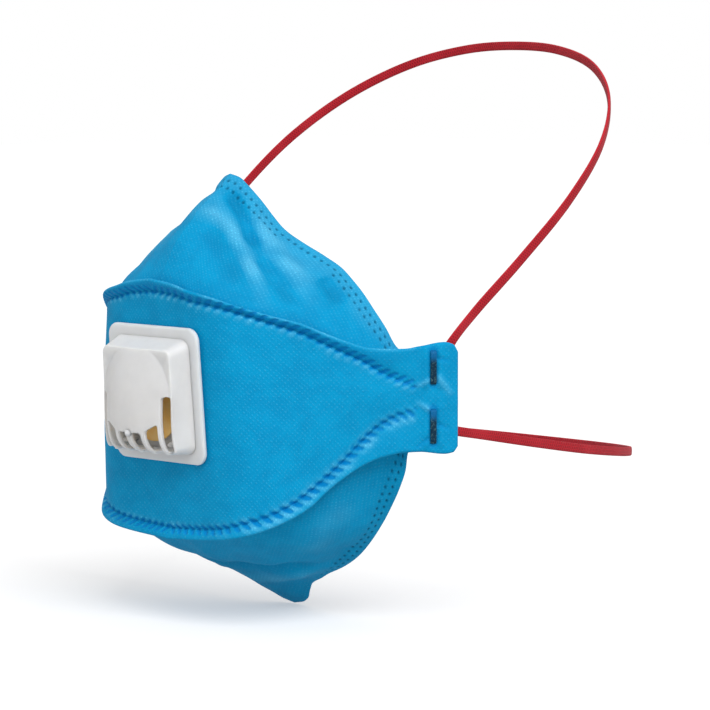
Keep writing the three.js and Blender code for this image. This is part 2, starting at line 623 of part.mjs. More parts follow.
function stapleSolid(side, staple) {
  const crown = tabBox(side, staple.centreZ, staple.length, GAP, GAP + STAPLE.wire, STAPLE.width);
  const clinchZ = staple.length / 2 - STAPLE.clinch / 2;
  const clinches = [-clinchZ, clinchZ].map((z) => tabBox(side, staple.centreZ + z, STAPLE.clinch,
    -STAPLE.reach, -STAPLE.reach + STAPLE.wire, STAPLE.width));
  return join([crown, ...stapleLegs(side, staple, 0), ...clinches]);
}

// ---- straps ----
function strapPath(underTab, run) {
  const held = underTab.map((p) => onFace(p.along, p.z, -STRAP.depthBehindFace));
  const leave = held[held.length - 1];
  const rise = radians(run.riseDeg);
  const free = run.rows.map((row) => new THREE.Vector3(
    row.halfWidth,
    leave.y + row.reach * Math.cos(rise),
    leave.z + row.reach * Math.sin(rise) + row.lift,
  ));
  const near = [...held, ...free];
  const far = near.slice(0, -1).reverse().map((p) => new THREE.Vector3(-p.x, p.y, p.z));
  return new THREE.CatmullRomCurve3([...near, ...far], false, "centripetal");
}

// flat band swept along the path with its width standing up
function strap(underTab, run) {
  const path = strapPath(underTab, run);
  const centres = path.getSpacedPoints(STRAP.steps);
  const section = [
    { across: -0.5, through: -0.3 },
    { across: -0.38, through: -0.5 },
    { across: 0.38, through: -0.5 },
    { across: 0.5, through: -0.3 },
    { across: 0.5, through: 0.3 },
    { across: 0.38, through: 0.5 },
    { across: -0.38, through: 0.5 },
    { across: -0.5, through: 0.3 },
  ];
  const points = [];
  centres.forEach((centre, i) => {
    const ahead = centres[Math.min(centres.length - 1, i + 1)];
    const behind = centres[Math.max(0, i - 1)];
    const tangent = ahead.clone().sub(behind).normalize();
    const outward = new THREE.Vector3(tangent.y, -tangent.x, 0).normalize();
    const across = tangent.clone().cross(outward).normalize();
    section.forEach((s) => points.push(centre.clone()
      .addScaledVector(across, s.across * STRAP.width)
      .addScaledVector(outward, s.through * STRAP.thick)));
  });
  const n = section.length;
  const faces = [];
  for (let i = 0; i < centres.length - 1; i += 1) {
    for (let k = 0; k < n; k += 1) {
      const a = i * n + k;
      const b = i * n + ((k + 1) % n);
      faces.push([a, b, b + n], [a, b + n, a + n]);
    }
  }
  for (let k = 1; k < n - 1; k += 1) {
    faces.push([0, k + 1, k]);
    const end = (centres.length - 1) * n;
    faces.push([end, end + k, end + k + 1]);
  }
  return fromFaces(points, faces);
}

// ---- assembly ----
const FABRIC_BLUE = 0x0d8fca;
const VALVE_WHITE = 0xe6e6e4;
const FLAP_ORANGE = 0xc08630;
const STRAP_RED = 0xc01828;
const STEEL = 0x8a8f94;

function piece(name, geometry, colour, metalness = 0) {
  const clean = new THREE.BufferGeometry();
  clean.setAttribute("position", geometry.attributes.position);
  if (geometry.index) clean.setIndex(geometry.index);
  const merged = mergeVertices(clean, MERGE);
  merged.computeVertexNormals();
  const mesh = new THREE.Mesh(merged, new THREE.MeshStandardMaterial({ color: colour, metalness, roughness: 0.7 }));
  mesh.name = name;
  return mesh;
}

const mask = new THREE.Group();
mask.name = "respirator_mask";
mask.add(
  piece("centre_panel", centrePanel(), FABRIC_BLUE),
  piece("top_panel", sidePanel(1, TOP_EDGE, null), FABRIC_BLUE),
  piece("bottom_panel", sidePanel(-1, BOTTOM_EDGE, CHIN_TAB), FABRIC_BLUE),
  piece("valve_base", valveBase(), VALVE_WHITE),
  piece("valve_flap", valveFlap(), FLAP_ORANGE),
  piece("valve_cover", valveCover(), VALVE_WHITE),
  piece("upper_strap", strap(UPPER_UNDER_TAB, UPPER_RUN), STRAP_RED),
  piece("lower_strap", strap(LOWER_UNDER_TAB, LOWER_RUN), STRAP_RED),
);
[{ name: "left", side: 1 }, { name: "right", side: -1 }].forEach((hand) => {
  STAPLES.forEach((staple) => {
    mask.add(piece(`${hand.name}_${staple.name}_staple`, stapleSolid(hand.side, staple), STEEL, 0.8));
  });
});

export default mask;
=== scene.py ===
"""Valved folding respirator mask, opened as worn, with two elastic head straps.

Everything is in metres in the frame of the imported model: +Z up, the front of the mask
towards -Y, the wearer's left towards +X, the origin at the middle of the face opening.
"""

import math

import bpy
import numpy as np
from bpy.props import FloatProperty, FloatVectorProperty, PointerProperty
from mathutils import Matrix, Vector


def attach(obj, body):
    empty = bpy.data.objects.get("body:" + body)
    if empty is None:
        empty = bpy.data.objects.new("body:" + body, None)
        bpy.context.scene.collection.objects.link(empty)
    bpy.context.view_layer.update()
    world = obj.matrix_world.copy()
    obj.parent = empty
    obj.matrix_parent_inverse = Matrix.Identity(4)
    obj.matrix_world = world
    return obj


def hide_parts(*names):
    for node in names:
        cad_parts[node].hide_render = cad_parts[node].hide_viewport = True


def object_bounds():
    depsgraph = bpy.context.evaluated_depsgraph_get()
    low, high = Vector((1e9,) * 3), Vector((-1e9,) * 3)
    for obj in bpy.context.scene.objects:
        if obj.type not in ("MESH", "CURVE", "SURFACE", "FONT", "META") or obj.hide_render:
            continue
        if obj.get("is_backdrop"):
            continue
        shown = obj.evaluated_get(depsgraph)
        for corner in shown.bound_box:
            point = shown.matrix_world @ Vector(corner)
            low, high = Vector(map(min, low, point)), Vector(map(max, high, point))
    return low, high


bl_info = {
    "name": "Valved respirator mask",
    "version": (1, 0, 0),
    "blender": (4, 5, 0),
    "location": "View3D > Sidebar > Respirator",
    "description": "Builds the cloth, valve, straps and staples of a valved respirator mask",
    "category": "Object",
}

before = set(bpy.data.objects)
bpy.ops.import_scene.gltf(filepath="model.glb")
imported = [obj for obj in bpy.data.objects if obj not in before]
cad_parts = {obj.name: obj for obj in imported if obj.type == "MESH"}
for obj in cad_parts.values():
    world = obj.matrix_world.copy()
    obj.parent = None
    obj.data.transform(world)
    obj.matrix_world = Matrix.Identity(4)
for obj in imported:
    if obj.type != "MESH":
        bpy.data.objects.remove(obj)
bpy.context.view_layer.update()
MM = 0.001

# ---- shared dimensions of the mask ----
FRONT_Y = -0.057  # outer face of the centre panel on the middle line
VALVE_Z = 0.0006  # height of the middle of the valve
FRONT_LEAN = math.radians(4.9)
HALF_LENGTH = 0.0998  # middle line to tab end, along the centre panel
SEAM_TUCK = 0.0028  # the side panels start this far behind the outer face
SEAM_CLEAR = 0.0009  # their welded edge clears the weld line
PANEL_REACH = 0.088  # the side panels end here, behind the tabs
FIN_FLARE = 0.0016  # the seam fin leans outward
WELD_SINK = 0.0006  # the weld line lies lower than the panel
PILLOW = 0.0009  # soft swelling of the centre panel beside the valve
PANEL_CROWN = 0.005  # swelling of the top and bottom panels

# heading of the plan curve of the centre panel: distance along, degrees
PLAN = [(0, 0), (0.0135, 1), (0.0205, 9), (0.036, 45), (0.048, 49), (0.076, 51), (0.102, 53)]

# distance along, top weld, top crest, low weld, low crest
SEAMS = [
    (0, 0.0328, 0.0366, -0.0424, -0.0459),
    (0.013, 0.0317, 0.0351, -0.0415, -0.0449),
    (0.02, 0.0304, 0.0337, -0.0404, -0.0439),
    (0.028, 0.029, 0.0317, -0.0385, -0.0422),
    (0.036, 0.0267, 0.0289, -0.0362, -0.0397),
    (0.045, 0.0235, 0.0259, -0.0326, -0.0364),
    (0.052, 0.0209, 0.0239, -0.0286, -0.033),
    (0.058, 0.0178, 0.0211, -0.0243, -0.0284),
    (0.065, 0.0144, 0.0182, -0.0183, -0.0235),
    (0.071, 0.0115, 0.0163, -0.012, -0.0199),
    (0.076, 0.0083, 0.0158, -0.0078, -0.0179),
    (0.083, 0.0053, 0.0157, -0.0046, -0.0166),
    (0.088, 0.0036, 0.0164, -0.0038, -0.0165),
    (0.0955, 0.0034, 0.0176, -0.0036, -0.0172),
    (0.0984, 0.0034, 0.0168, -0.0036, -0.0167),
    (0.0998, 0.0034, 0.0145, -0.0036, -0.0148),
]

# spacing of the weld marks along the seams: distance along, share of the weld pitch
WELD_SPACING = [(0, 1), (0.02, 1.1), (0.035, 1.2), (0.055, 1.13), (0.075, 1), (0.09, 0.95)]

# free edge of the top panel, nose peak to behind the tab: distance along, x, y, z
TOP_EDGE = [
    (0, 0, -0.0267, 0.0685),
    (0.004, 0.0035, -0.0258, 0.0674),
    (0.008, 0.0066, -0.0246, 0.0646),
    (0.0136, 0.01, -0.023, 0.0607),
    (0.02, 0.014, -0.0213, 0.0558),
    (0.027, 0.0185, -0.0195, 0.0508),
    (0.035, 0.0245, -0.0173, 0.0465),
    (0.043, 0.0315, -0.0149, 0.0427),
    (0.049, 0.0365, -0.0131, 0.0398),
    (0.055, 0.041, -0.012, 0.0359),
    (0.0605, 0.0445, -0.0111, 0.0321),
    (0.067, 0.0485, -0.0102, 0.0266),
    (0.0735, 0.052, -0.0094, 0.0215),
    (0.08, 0.0555, -0.0086, 0.016),
    (0.088, 0.0625, -0.0052, 0.011),
]

# free edge of the bottom panel, middle of the chin to behind the tab: distance along, x, y, z
BOTTOM_EDGE = [
    (0, 0, -0.0032, -0.0646),
    (0.016, 0.016, -0.0032, -0.0628),
    (0.022, 0.0215, -0.0034, -0.0601),
    (0.029, 0.028, -0.003, -0.0566),
    (0.036, 0.034, -0.0031, -0.0529),
    (0.046, 0.042, -0.0039, -0.0466),
    (0.0535, 0.047, -0.0043, -0.0411),
    (0.062, 0.052, -0.0055, -0.0345),
    (0.0695, 0.056, -0.0064, -0.028),
    (0.075, 0.0585, -0.0069, -0.0232),
    (0.081, 0.0605, -0.0077, -0.0174),
    (0.088, 0.0635, -0.0052, -0.011),
]

# how far the chin tab drops below that edge: distance along, drop
CHIN_TAB = [(0, 0.0079), (0.004, 0.0075), (0.007, 0.0062), (0.01, 0.0032), (0.013, 0.0008),
            (0.017, 0), (0.1, 0)]
CHIN_TAB_BACK = 0.66  # the tab leans back by this share of its drop
CHIN_TAB_FROM = 0.72  # share of the panel's depth where the tab begins to show

# folds pressed into the panels: height in metres (valleys below zero), half width, and the line as
# pairs of distance along in millimetres and share of the panel's depth
TOP_FOLDS = [
    {"height": 0.0009, "spread": 0.0026,
     "line": [(-2, 0.60), (5, 0.62), (10.5, 0.61), (16, 0.60), (22, 0.54), (31, 0.39), (37.5, 0.23),
              (41, 0.11)]},
    {"height": -0.0013, "spread": 0.0024,
     "line": [(2, 0.86), (6.5, 0.83), (11.5, 0.80), (16.5, 0.75), (21.5, 0.69), (28, 0.64)]},
    {"height": 0.0007, "spread": 0.0034,
     "line": [(14, 0.88), (21.5, 0.81), (29, 0.75), (36.5, 0.65), (44, 0.53), (50.5, 0.36)]},
    {"height": -0.0007, "spread": 0.0034,
     "line": [(4, 0.46), (12, 0.47), (19.5, 0.38), (26.5, 0.25), (33, 0.12)]},
    {"height": -0.0006, "spread": 0.0026, "line": [(28, 0.58), (36, 0.45), (43, 0.30), (49, 0.15)]},
    {"height": -0.0010, "spread": 0.0028, "line": [(47, 0.71), (54, 0.62), (58.5, 0.58)]},
    {"height": -0.0014, "spread": 0.0022, "line": [(-2, 0.84), (-8, 0.85), (-15, 0.80), (-23, 0.70)]},
    {"height": 0.0009, "spread": 0.0032, "line": [(-10, 0.60), (-22, 0.52), (-34, 0.42), (-42, 0.26)]},
    {"height": -0.0009, "spread": 0.0030, "line": [(-30, 0.56), (-41, 0.38), (-50, 0.22)]},
    {"height": 0.0007, "spread": 0.0030, "line": [(-24, 0.84), (-36, 0.70), (-50, 0.56)]},
]
BOTTOM_FOLDS = [
    {"height": -0.0017, "spread": 0.0032,
     "line": [(-20, 0.56), (-9, 0.58), (8, 0.56), (20, 0.62), (28, 0.78)]},
    {"height": 0.0010, "spread": 0.0034, "line": [(-9, 0.80), (6, 0.76), (20, 0.76), (26, 0.86)]},
    {"height": -0.0005, "spread": 0.0034, "line": [(26, 0.86), (34, 0.86), (43, 0.84)]},
    {"height": 0.0005, "spread": 0.0046, "line": [(30, 0.50), (44, 0.44), (58, 0.40)]},
    {"height": -0.0012, "spread": 0.0032, "line": [(-46, 0.50), (-34, 0.60), (-24, 0.60)]},
    {"height": 0.0009, "spread": 0.0036, "line": [(-36, 0.78), (-24, 0.80), (-14, 0.84)]},
]

# creases pressed into the tabs beside the staples, with painted sheen on the raised ones and painted shade
# in the sunken ones: distance along and height of both ends
TAB_CREASES = [
    {"from": (0.0905, 0.0058), "to": (0.0868, 0.0040), "height": 0.00045, "spread": 0.0007},
    {"from": (0.0935, 0.0125), "to": (0.0968, 0.0118), "height": -0.00060, "spread": 0.0006},
    {"from": (0.0937, 0.0065), "to": (0.0972, 0.0020), "height": 0.00050, "spread": 0.0010},
    {"from": (0.0903, -0.0125), "to": (0.0872, -0.0148), "height": -0.00055, "spread": 0.0007},
    {"from": (0.0937, -0.0080), "to": (0.0968, -0.0092), "height": -0.00055, "spread": 0.0006},
    {"from": (0.0905, -0.0030), "to": (0.0874, -0.0012), "height": 0.00045, "spread": 0.0008},
]

# rows of dots beside a free edge: distance from the edge, share of the pitch by which the row is
# shifted, where it begins and fades in, where it ends
TOP_DOTS = [
    {"inset": 0.0030, "offset": 0.0, "begins": 0, "fade": 0.001, "ends": 0.088},
    {"inset": 0.0056, "offset": 0.5, "begins": 0, "fade": 0.001, "ends": 0.026},
    {"inset": 0.0056, "offset": 0.5, "begins": 0.050, "fade": 0.003, "ends": 0.086},
]
BOTTOM_DOTS = [
    {"inset": 0.0030, "offset": 0.0, "begins": 0.030, "fade": 0.012, "ends": 0.098},
    {"inset": 0.0056, "offset": 0.5, "begins": 0.036, "fade": 0.012, "ends": 0.094},
]

# ---- marks and swellings of the centre panel ----
FIN_ENDS = (0.078, 0.088)  # distance along where the seam fins lie down into the tab
FIN_CURVE = 2.6
WELD_LINE_REACH = 0.0011
PILLOW_BEGINS = (0.020, 0.036)
LEAN_ENDS = (0.030, 0.070)  # the lean of the front fades out over this distance along
FRONT_SPREAD = 1.35  # the corners of the front widen with its lean
SPREAD_BEGINS = (0.006, 0.022)
VALVE_REACH = 0.022
VALVE_CALM = (0.004, 0.018)  # no waves this near the valve, full waves further off
FIELD_WAVES = {"height": 0.00042, "length": 0.030}
# weld marks of the low and the top seam: lean of a mark, side of the field, shift across the seam
SEAM_MARKS = [
    {"lean": 0.85, "inward": 1.0, "shift": -0.0002},
    {"lean": -0.85, "inward": -1.0, "shift": 0.0005},
]
MARK = {"half_turn": 0.29, "half_width": 0.0016, "power": 2.8, "edge": (0.40, 1.30),
        "ends": (0.0855, 0.0875)}
PUCKER = {"inset": 0.0017, "spread": 0.0012, "height": 0.00016, "begins": (0.018, 0.030),
          "ends": (0.090, 0.097)}
# painted highlights on the pucker ridges beside the weld marks, and on the upward-facing lip of the low fin
TAIL = {"inset": 0.0013, "spread": 0.0008, "share": 0.75}
LOW_TAIL = {"share": 0.6, "inset": -0.0016, "spread": 0.0014, "begins": (0.010, 0.040)}
# painted highlight along the crest of the upper fin
CREST_HIGHLIGHT = {"share": 0.45, "spread": 0.0006}
# painted shade on the upper fin, which faces down, drawn in the colour of the weld marks
FIN_SHADE = {"share": 0.42, "begins": (0.0, 0.0006), "ends": (0.0003, 0.0014), "fades": (0.060, 0.084)}
PATCHES = {"middle": 0.75, "height": 1.2, "length": 0.013}
STAPLE_SWELL = {"beside": 0.0023, "spread": 0.0011, "height": 0.00050, "sink": 0.00012, "reach": 0.0022}
STAPLE_SHADE = {"share": 0.62, "edge": (0.0008, 0.0021)}
CENTRE_RIM = {"thin": 0.62, "reach": 0.0035, "round": 0.0007, "weld_thin": 0.45, "weld_reach": 0.002}
LEAST_ROUND = 0.06  # share of the square of the thickness that stays at a cut edge

# ---- relief of the top and bottom panels ----
FOLD_GAIN = 1.5
FOLD_ENDS = {"begins": 0.22, "ends": 0.75, "least": 0.15}
CROWN_SHAPE = {"top": (0.75, 1.25), "gain": 2.55, "ends": (0.035, 0.080)}
CROWN_LEAN = {"side": 0.35, "side_begins": 0.030, "forward": 0.65, "up": 0.75}
SIDE_WAVES = {"height": 0.00055, "length": 0.026}
SIDE_PATCHES = {"middle": 0.95, "height": 0.7, "length": 0.016}
EDGE_WAVES = {"height": 0.00045, "length": 0.0052, "drift": 0.8, "drift_length": 0.017,
              "fades": (0.001, 0.010), "begins": (0.012, 0.03)}
# painted light on the upper part of the top panel, towards its free edge
TOP_PAINTED_LIGHT = {"share": 0.30, "begins": (0.42, 0.80)}
SHEEN_SHADE_RELIEF = {"top": 0.0016, "bottom": 0.0032}  # relief at which the painted sheen on a ridge and the painted shade in a valley are full
SIDE_RIM = {"thin": 0.66, "reach": (0.0015, 0.0065), "round": 0.0006}
DOT_EDGE = (0.00026, 0.00074)  # radius where a dot's floor ends, and where the dot ends
DOT_ROW_END = 0.003

# ---- colours that come with the settings' ones ----
PIP_BLUE = (0.10, 0.60, 0.88)
SHEEN_BLUE = (0.45, 0.78, 1.0)
BLOOM_ORANGE = (1.0, 0.66, 0.24)
WORN_RED = (0.66, 0.03, 0.045)
SHEEN_RED = (1.0, 0.55, 0.6)
SPECK_STEEL = (0.07, 0.15, 0.17)
VEIL_BLUE = (0.0, 0.14, 0.37)
FLOOR_SEEN = [(0.62, 0.62, 0.62), (0.60, 0.60, 0.605)]
FLOOR_UNSEEN = (0.42, 0.42, 0.42)  # what the floor throws back at the mask
FLOOR_HALF = 4.0
FLOOR_GLOW = {"seen": 0.20, "always": 0.22}
RIB_PITCH_MM, YARN_PITCH_MM, YARN_SLANT = 0.5, 0.9, 3.2
# lights: where each stands, the setting of its strength, its angle in degrees
LIGHTS = [("key_light", (0.64, -0.33, 0.70), "key_strength", 38),
          ("fill_light", (-0.55, -0.80, 0.45), "fill_strength", 60)]

# ---- how finely the pieces are meshed ----
CENTRE_STATIONS = 561
FIN_ROWS = 23
FIELD_ROWS = 22
BESIDE_WELD = [0, 0.003, 0.006, 0.010, 0.015, 0.022, 0.035, 0.055]  # shares of the field's height
HOLE_CELL = 0.0027
SIDE_STATIONS = 1201
STATIONS_PER_DOT = 7
SIDE_ROWS = 36
RIM_ROWS = 27
RIM_FROM_SHARE = 1 - 0.0085 / 0.040
FLANGE_OUTLINE = (16, 20)  # points per corner and per side
BLOCK_OUTLINE = (6, 3)
COVER_OUTLINE = (14, 110)
COVER_FRONT_SHARES = [*np.linspace(0.02, 0.5, 10)[:-1], *np.linspace(0.5, 0.972, 28)]
COVER_EDGE_ANGLES = np.radians(np.linspace(12, 90, 8))
COVER_WALL_SHARES = np.linspace(0, 1, 15)[1:]
STAPLE_POINTS = 121
STAPLE_SECTION = (16, 5.0)  # points, squareness
STRAP_POINTS = 500
STRAP_SECTION = (18, 3.4)
POINTS_PER_STRETCH = 40
SHARP_DEGREES = {"seat": 38, "flap": 50, "cover": 40, "staple": 45}

# ---- valve, in its own plane: x to the wearer's left, up, out ----
FLANGE = {"half_width": 0.0206, "half_height": 0.0215, "radius": 0.0042, "back": 0.0003, "front": 0.0018}
ORIFICE = {"up": -0.0025, "radius": 0.0088, "ring_radius": 0.0104, "ring_top": 0.0029, "back": -0.0029}
PANEL_HOLE_RADIUS = 0.011
HINGE_PAD = {"half_width": 0.007, "low": 0.0092, "high": 0.0128, "back": 0.001, "radius": 0.001,
             "bevel": 0.0003}
FLAP = {"half_width": 0.0122, "top": 0.0136, "back": 0.0032, "front": 0.004, "top_radius": 0.003,
        "middle": 0.004, "lift": 0.0002, "lifts_from": (-0.004, -0.0135), "edge": 0.25}
FLAP_SHARES = [0.02, 0.3, 0.6, 0.85, 0.96, 0.99, 1.0]
COVER = {"wall": 0.0012, "foot": 0.0021, "foot_half_width": 0.0172, "foot_top": 0.018,
         "foot_low": -0.0182, "foot_radius": 0.0036}
COVER_FACE = {"half_width_top": 0.0156, "half_width_low": 0.0163, "top": 0.0156, "low": -0.0174,
              "radius": 0.0024}
DISC = {"up": 0.0015, "radius": 0.015, "low_half_width": 0.0156, "widens_over": 0.008, "roundness": 0.85}
COVER_FILLET = 0.0006
RECESS = {"begins": (-0.0146, -0.0166), "fades": (0.2, 0.85)}  # the rim set back between the bars
SEAT_BAR = {"half_width": 0.0007, "past_bore": 0.0005, "out": 0.0008, "radius": 0.0003, "bevel": 0.0002}

# the cover on its middle line, and its side edges: up, out, edge
COVER_SECTION = [
    (-0.0182, 0.0074, 0.0074),
    (-0.0174, 0.009, 0.0086),
    (-0.016, 0.0114, 0.0093),
    (-0.014, 0.0132, 0.0097),
    (-0.0116, 0.0142, 0.0099),
    (-0.008, 0.0145, 0.0099),
    (-0.003, 0.0143, 0.0097),
    (0.002, 0.0137, 0.0094),
    (0.007, 0.0125, 0.0092),
    (0.012, 0.0108, 0.0091),
    (0.0165, 0.0091, 0.0091),
]

# openings of the grille on one side: inner x, outer x, top at the inner side, top at the outer
# side, low, corner
OPENINGS = [
    (0.001, 0.0053, -0.0102, -0.0102, -0.0167, 0.001),
    (0.0066, 0.0115, -0.0096, -0.0072, -0.0167, 0.0011),
    (0.0125, 0.0155, 0.0012, 0.0012, -0.0167, 0.0013),
]
RIBS = [0, 0.0059, 0.012, 0.0161]  # x of the bars that run down over the lower edge
RIB_HALF_WIDTH = 0.00078
RIB_SIDES = (0.75, 1.55)  # a bar's side begins and ends at these shares of its half width
RIB_RISE = 0.0009
GRILLE_CUT = (0.0042, 0.03)  # how far out the openings' sides begin and end
KNOB = {"up": -0.0104, "radius": 0.00125, "rise": 0.001, "sunk": 0.0004}
PIN = {"x": 0.0106, "up": -0.0146, "radius": 0.0012, "rise": 0.0058}  # beside the seat, under the cover

# ---- straps and staples ----
STRAP_BEHIND_FACE = 0.0033
STAPLE = {"along": 0.092, "width": 0.0019, "wire": 0.0007, "reach": 0.0052, "clinch": 0.0032,
          "gap": 0.0003, "clinch_drop": 0.0001, "bend": 0.00062}
STAPLE_VEIL = (0.60, 0.86)  # shares of the staple's height between which the veil of fibres begins
STAPLES = [{"name": "upper", "centre": 0.0098, "length": 0.0106},
           {"name": "lower", "centre": -0.0085, "length": 0.0108}]
# strap under the tab: distance along the tab, height; then its free run round the head,
# as reach behind the tab, half width and lift
STRAPS = {
    "upper_strap": {
        "under_tab": [(0.092, 0.007), (0.0945, 0.0108), (0.098, 0.017)],
        "rise": math.radians(40.8),
        "run": [(0.014, 0.0712, 0), (0.038, 0.074, 0), (0.066, 0.0755, 0), (0.092, 0.0715, 0),
                (0.114, 0.06, 0), (0.13, 0.042, 0), (0.138, 0.021, 0), (0.14, 0, 0)],
        "length": 0.391,
    },
    "lower_strap": {
        "under_tab": [(0.0898, -0.0084), (0.093, -0.009), (0.099, -0.0103)],
        "rise": math.radians(-10.4),
        "run": [(0.012, 0.0726, 0), (0.034, 0.074, 0), (0.06, 0.0735, 0.0004), (0.084, 0.068, 0.0015),
                (0.104, 0.056, 0.0027), (0.118, 0.039, 0.0035), (0.1255, 0.02, 0.0039), (0.1275, 0, 0.004)],
        "length": 0.359,
    },
}


# ---- settings that a user would change ----
def length_setting(name, description, default):
    return FloatProperty(name=name, description=description, default=default, min=0.0, unit="LENGTH",
                         precision=5)


def colour_setting(name, description, default):
    return FloatVectorProperty(name=name, description=description, default=default, size=3,
                               subtype="COLOR", min=0.0, max=1.0)


class MaskClothSettings(bpy.types.PropertyGroup):
    """Sizes and colours of the nonwoven panels"""

    blue: colour_setting("Blue", "Colour of the nonwoven cloth", (0.0, 0.30, 0.58))
    # deep blue is also the painted shade in the valleys of the folds, pale blue also the painted sheen on
    # their ridges
    deep_blue: colour_setting("Deep blue", "Colour in the hollows of the cloth", (0.0, 0.205, 0.44))
    pale_blue: colour_setting("Pale blue", "Colour of the whitened ridges", (0.12, 0.50, 0.76))
    dot_blue: colour_setting("Dot blue", "Colour of the pressed dots", (0.0, 0.085, 0.17))
    # weld blue also paints shade on the upper fins, round the staples and in the sunken tab creases
    weld_blue: colour_setting("Weld blue", "Colour of the pressed weld marks", (0.0, 0.20, 0.53))
    centre_thick: length_setting("Centre thickness", "Laminate of the centre panel", 0.002)
    side_thick: length_setting("Side thickness", "Laminate of the top and bottom panels", 0.0013)
    weld_pitch: length_setting("Weld pitch", "Spacing of the weld marks on the middle line", 0.0029)
    weld_depth: length_setting("Weld depth", "Depth of the weld marks", 0.0004)
    dot_pitch: length_setting("Dot pitch", "Spacing of the pressed dots along a free edge", 0.00262)
    dot_depth: length_setting("Dot depth", "Depth of the pressed dots", 0.00035)
    emboss_pitch: length_setting("Emboss pitch", "Spacing of the fine emboss of the cloth", 0.00162)


class MaskValveSettings(bpy.types.PropertyGroup):
    """Colours of the exhalation valve"""

    plastic: colour_setting("Plastic", "Moulded parts of the valve", (0.74, 0.74, 0.73))
    rubber: colour_setting("Rubber", "Flap of the valve", (1.0, 0.58, 0.15))


class MaskStrapSettings(bpy.types.PropertyGroup):
    """Sizes and colours of the elastic straps and their staples"""

    width: length_setting("Width", "Width of a strap", 0.003)
    thickness: length_setting("Thickness", "Thickness of a strap", 0.0011)
    red: colour_setting("Red", "Yarn of the straps", (0.50, 0.006, 0.018))
    steel: colour_setting("Steel", "Wire of the staples", (0.003, 0.026, 0.055))


class MaskStageSettings(bpy.types.PropertyGroup):
    """Camera, lights and floor"""

    camera_place: FloatVectorProperty(name="Camera place", description="Where the camera stands",
                                      default=(0.8179, -0.7886, 0.1102), subtype="TRANSLATION")
    camera_turn: FloatVectorProperty(name="Camera turn", description="Where the camera looks",
                                     default=(math.radians(84.9), 0, math.radians(45)), subtype="EULER")
    lens: FloatProperty(name="Lens", description="Focal length in millimetres", default=178.5)
    key_strength: FloatProperty(name="Key", description="Strength of the key light", default=2.3)
    fill_strength: FloatProperty(name="Fill", description="Strength of the fill light", default=0.2)
    room_strength: FloatProperty(name="Room", description="Strength of the light all round", default=0.56)
    floor_drop: length_setting("Floor gap", "Gap between the chin tab and the floor", 0.0004)


# ---- small mathematics ----
def smooth(start, stop, x):
    t = np.clip((x - start) / (stop - start), 0.0, 1.0)
    return t * t * (3 - 2 * t)


def reader(rows, column):
    """Monotone cubic reading of one column of a table, by its first column."""
    xs = np.array([row[0] for row in rows], float)
    ys = np.array([row[column] for row in rows], float)
    step = np.diff(xs)
    rise = np.diff(ys) / step
    slope = np.zeros_like(xs)
    slope[0], slope[-1] = rise[0], rise[-1]
    for i in range(1, len(xs) - 1):
        if rise[i - 1] * rise[i] > 0:
            a = 2 * step[i] + step[i - 1]
            b = step[i] + 2 * step[i - 1]
            slope[i] = (a + b) / (a / rise[i - 1] + b / rise[i])

    def read(value):
        x = np.clip(value, xs[0], xs[-1])
        i = np.clip(np.searchsorted(xs, x, side="right") - 1, 0, len(xs) - 2)
        t = (x - xs[i]) / step[i]
        t2, t3 = t * t, t * t * t
        return ((2 * t3 - 3 * t2 + 1) * ys[i] + (t3 - 2 * t2 + t) * step[i] * slope[i]
                + (3 * t2 - 2 * t3) * ys[i + 1] + (t3 - t2) * step[i] * slope[i + 1])

    return read


def arc_length(points):
    """Distance along a row of points, starting at zero."""
    return np.concatenate([[0.0], np.cumsum(np.linalg.norm(np.diff(points, axis=0), axis=1))])


def evenly(line, count):
    """The same line with this many points at an even spacing."""
    reach = arc_length(line)
    even = np.linspace(0, reach[-1], count)
    return np.stack([np.interp(even, reach, line[:, k]) for k in range(line.shape[1])], axis=1)


def even_stations(stations, length, pitch, per_pitch):
    """Stations at an even spacing of the measured length, symmetric about the middle."""
    middle = np.interp(0.0, stations, length)
    half = min(length[-1] - middle, middle)
    count = int(half / (pitch / per_pitch))
    steps = np.linspace(-half, half, 2 * count + 1)
    return np.interp(middle + steps, length, stations)


def unevenness(x, y, amplitude, wavelength):
    """Slow waves of hand-formed cloth."""
    waves = [(1.0, 0.35, 0.4), (-0.55, 0.9, 2.1), (0.75, -0.8, 4.0), (1.45, 0.6, 5.2), (-0.3, -1.6, 1.3)]
    total = sum(np.sin(2 * math.pi * (u * x + v * y) / wavelength + phase) for u, v, phase in waves)
    return amplitude * total / len(waves)


def normals_of(grid, away_from=(0.0, 0.0, 0.0)):
    """Unit normals of a grid of points, pointing away from a place inside the mask."""
    normal = np.cross(np.gradient(grid, axis=1), np.gradient(grid, axis=0))
    normal /= np.linalg.norm(normal, axis=-1, keepdims=True) + 1e-12
    if np.sum(normal * (grid - np.array(away_from)), axis=-1).mean() < 0:
        normal = -normal
    return normal


def ring_normals(rings, away_from):
    """Unit normals of closed rings of points."""
    return normals_of(np.concatenate([rings[:, -1:], rings, rings[:, :1]], axis=1), away_from)[:, 1:-1]


# ---- plan curve and outer face of the centre panel ----
heading_at = reader(PLAN, 1)
TRACK_STEP = 0.00025
track_along = np.arange(0.0, 0.1021, TRACK_STEP)
track_heading = np.radians(heading_at(track_along[:-1] + TRACK_STEP / 2))
track_x = np.concatenate([[0.0], np.cumsum(np.cos(track_heading) * TRACK_STEP)])
track_y = FRONT_Y + np.concatenate([[0.0], np.cumsum(np.sin(track_heading) * TRACK_STEP)])
top_weld, top_crest, low_weld, low_crest = (reader(SEAMS, column) for column in (1, 2, 3, 4))


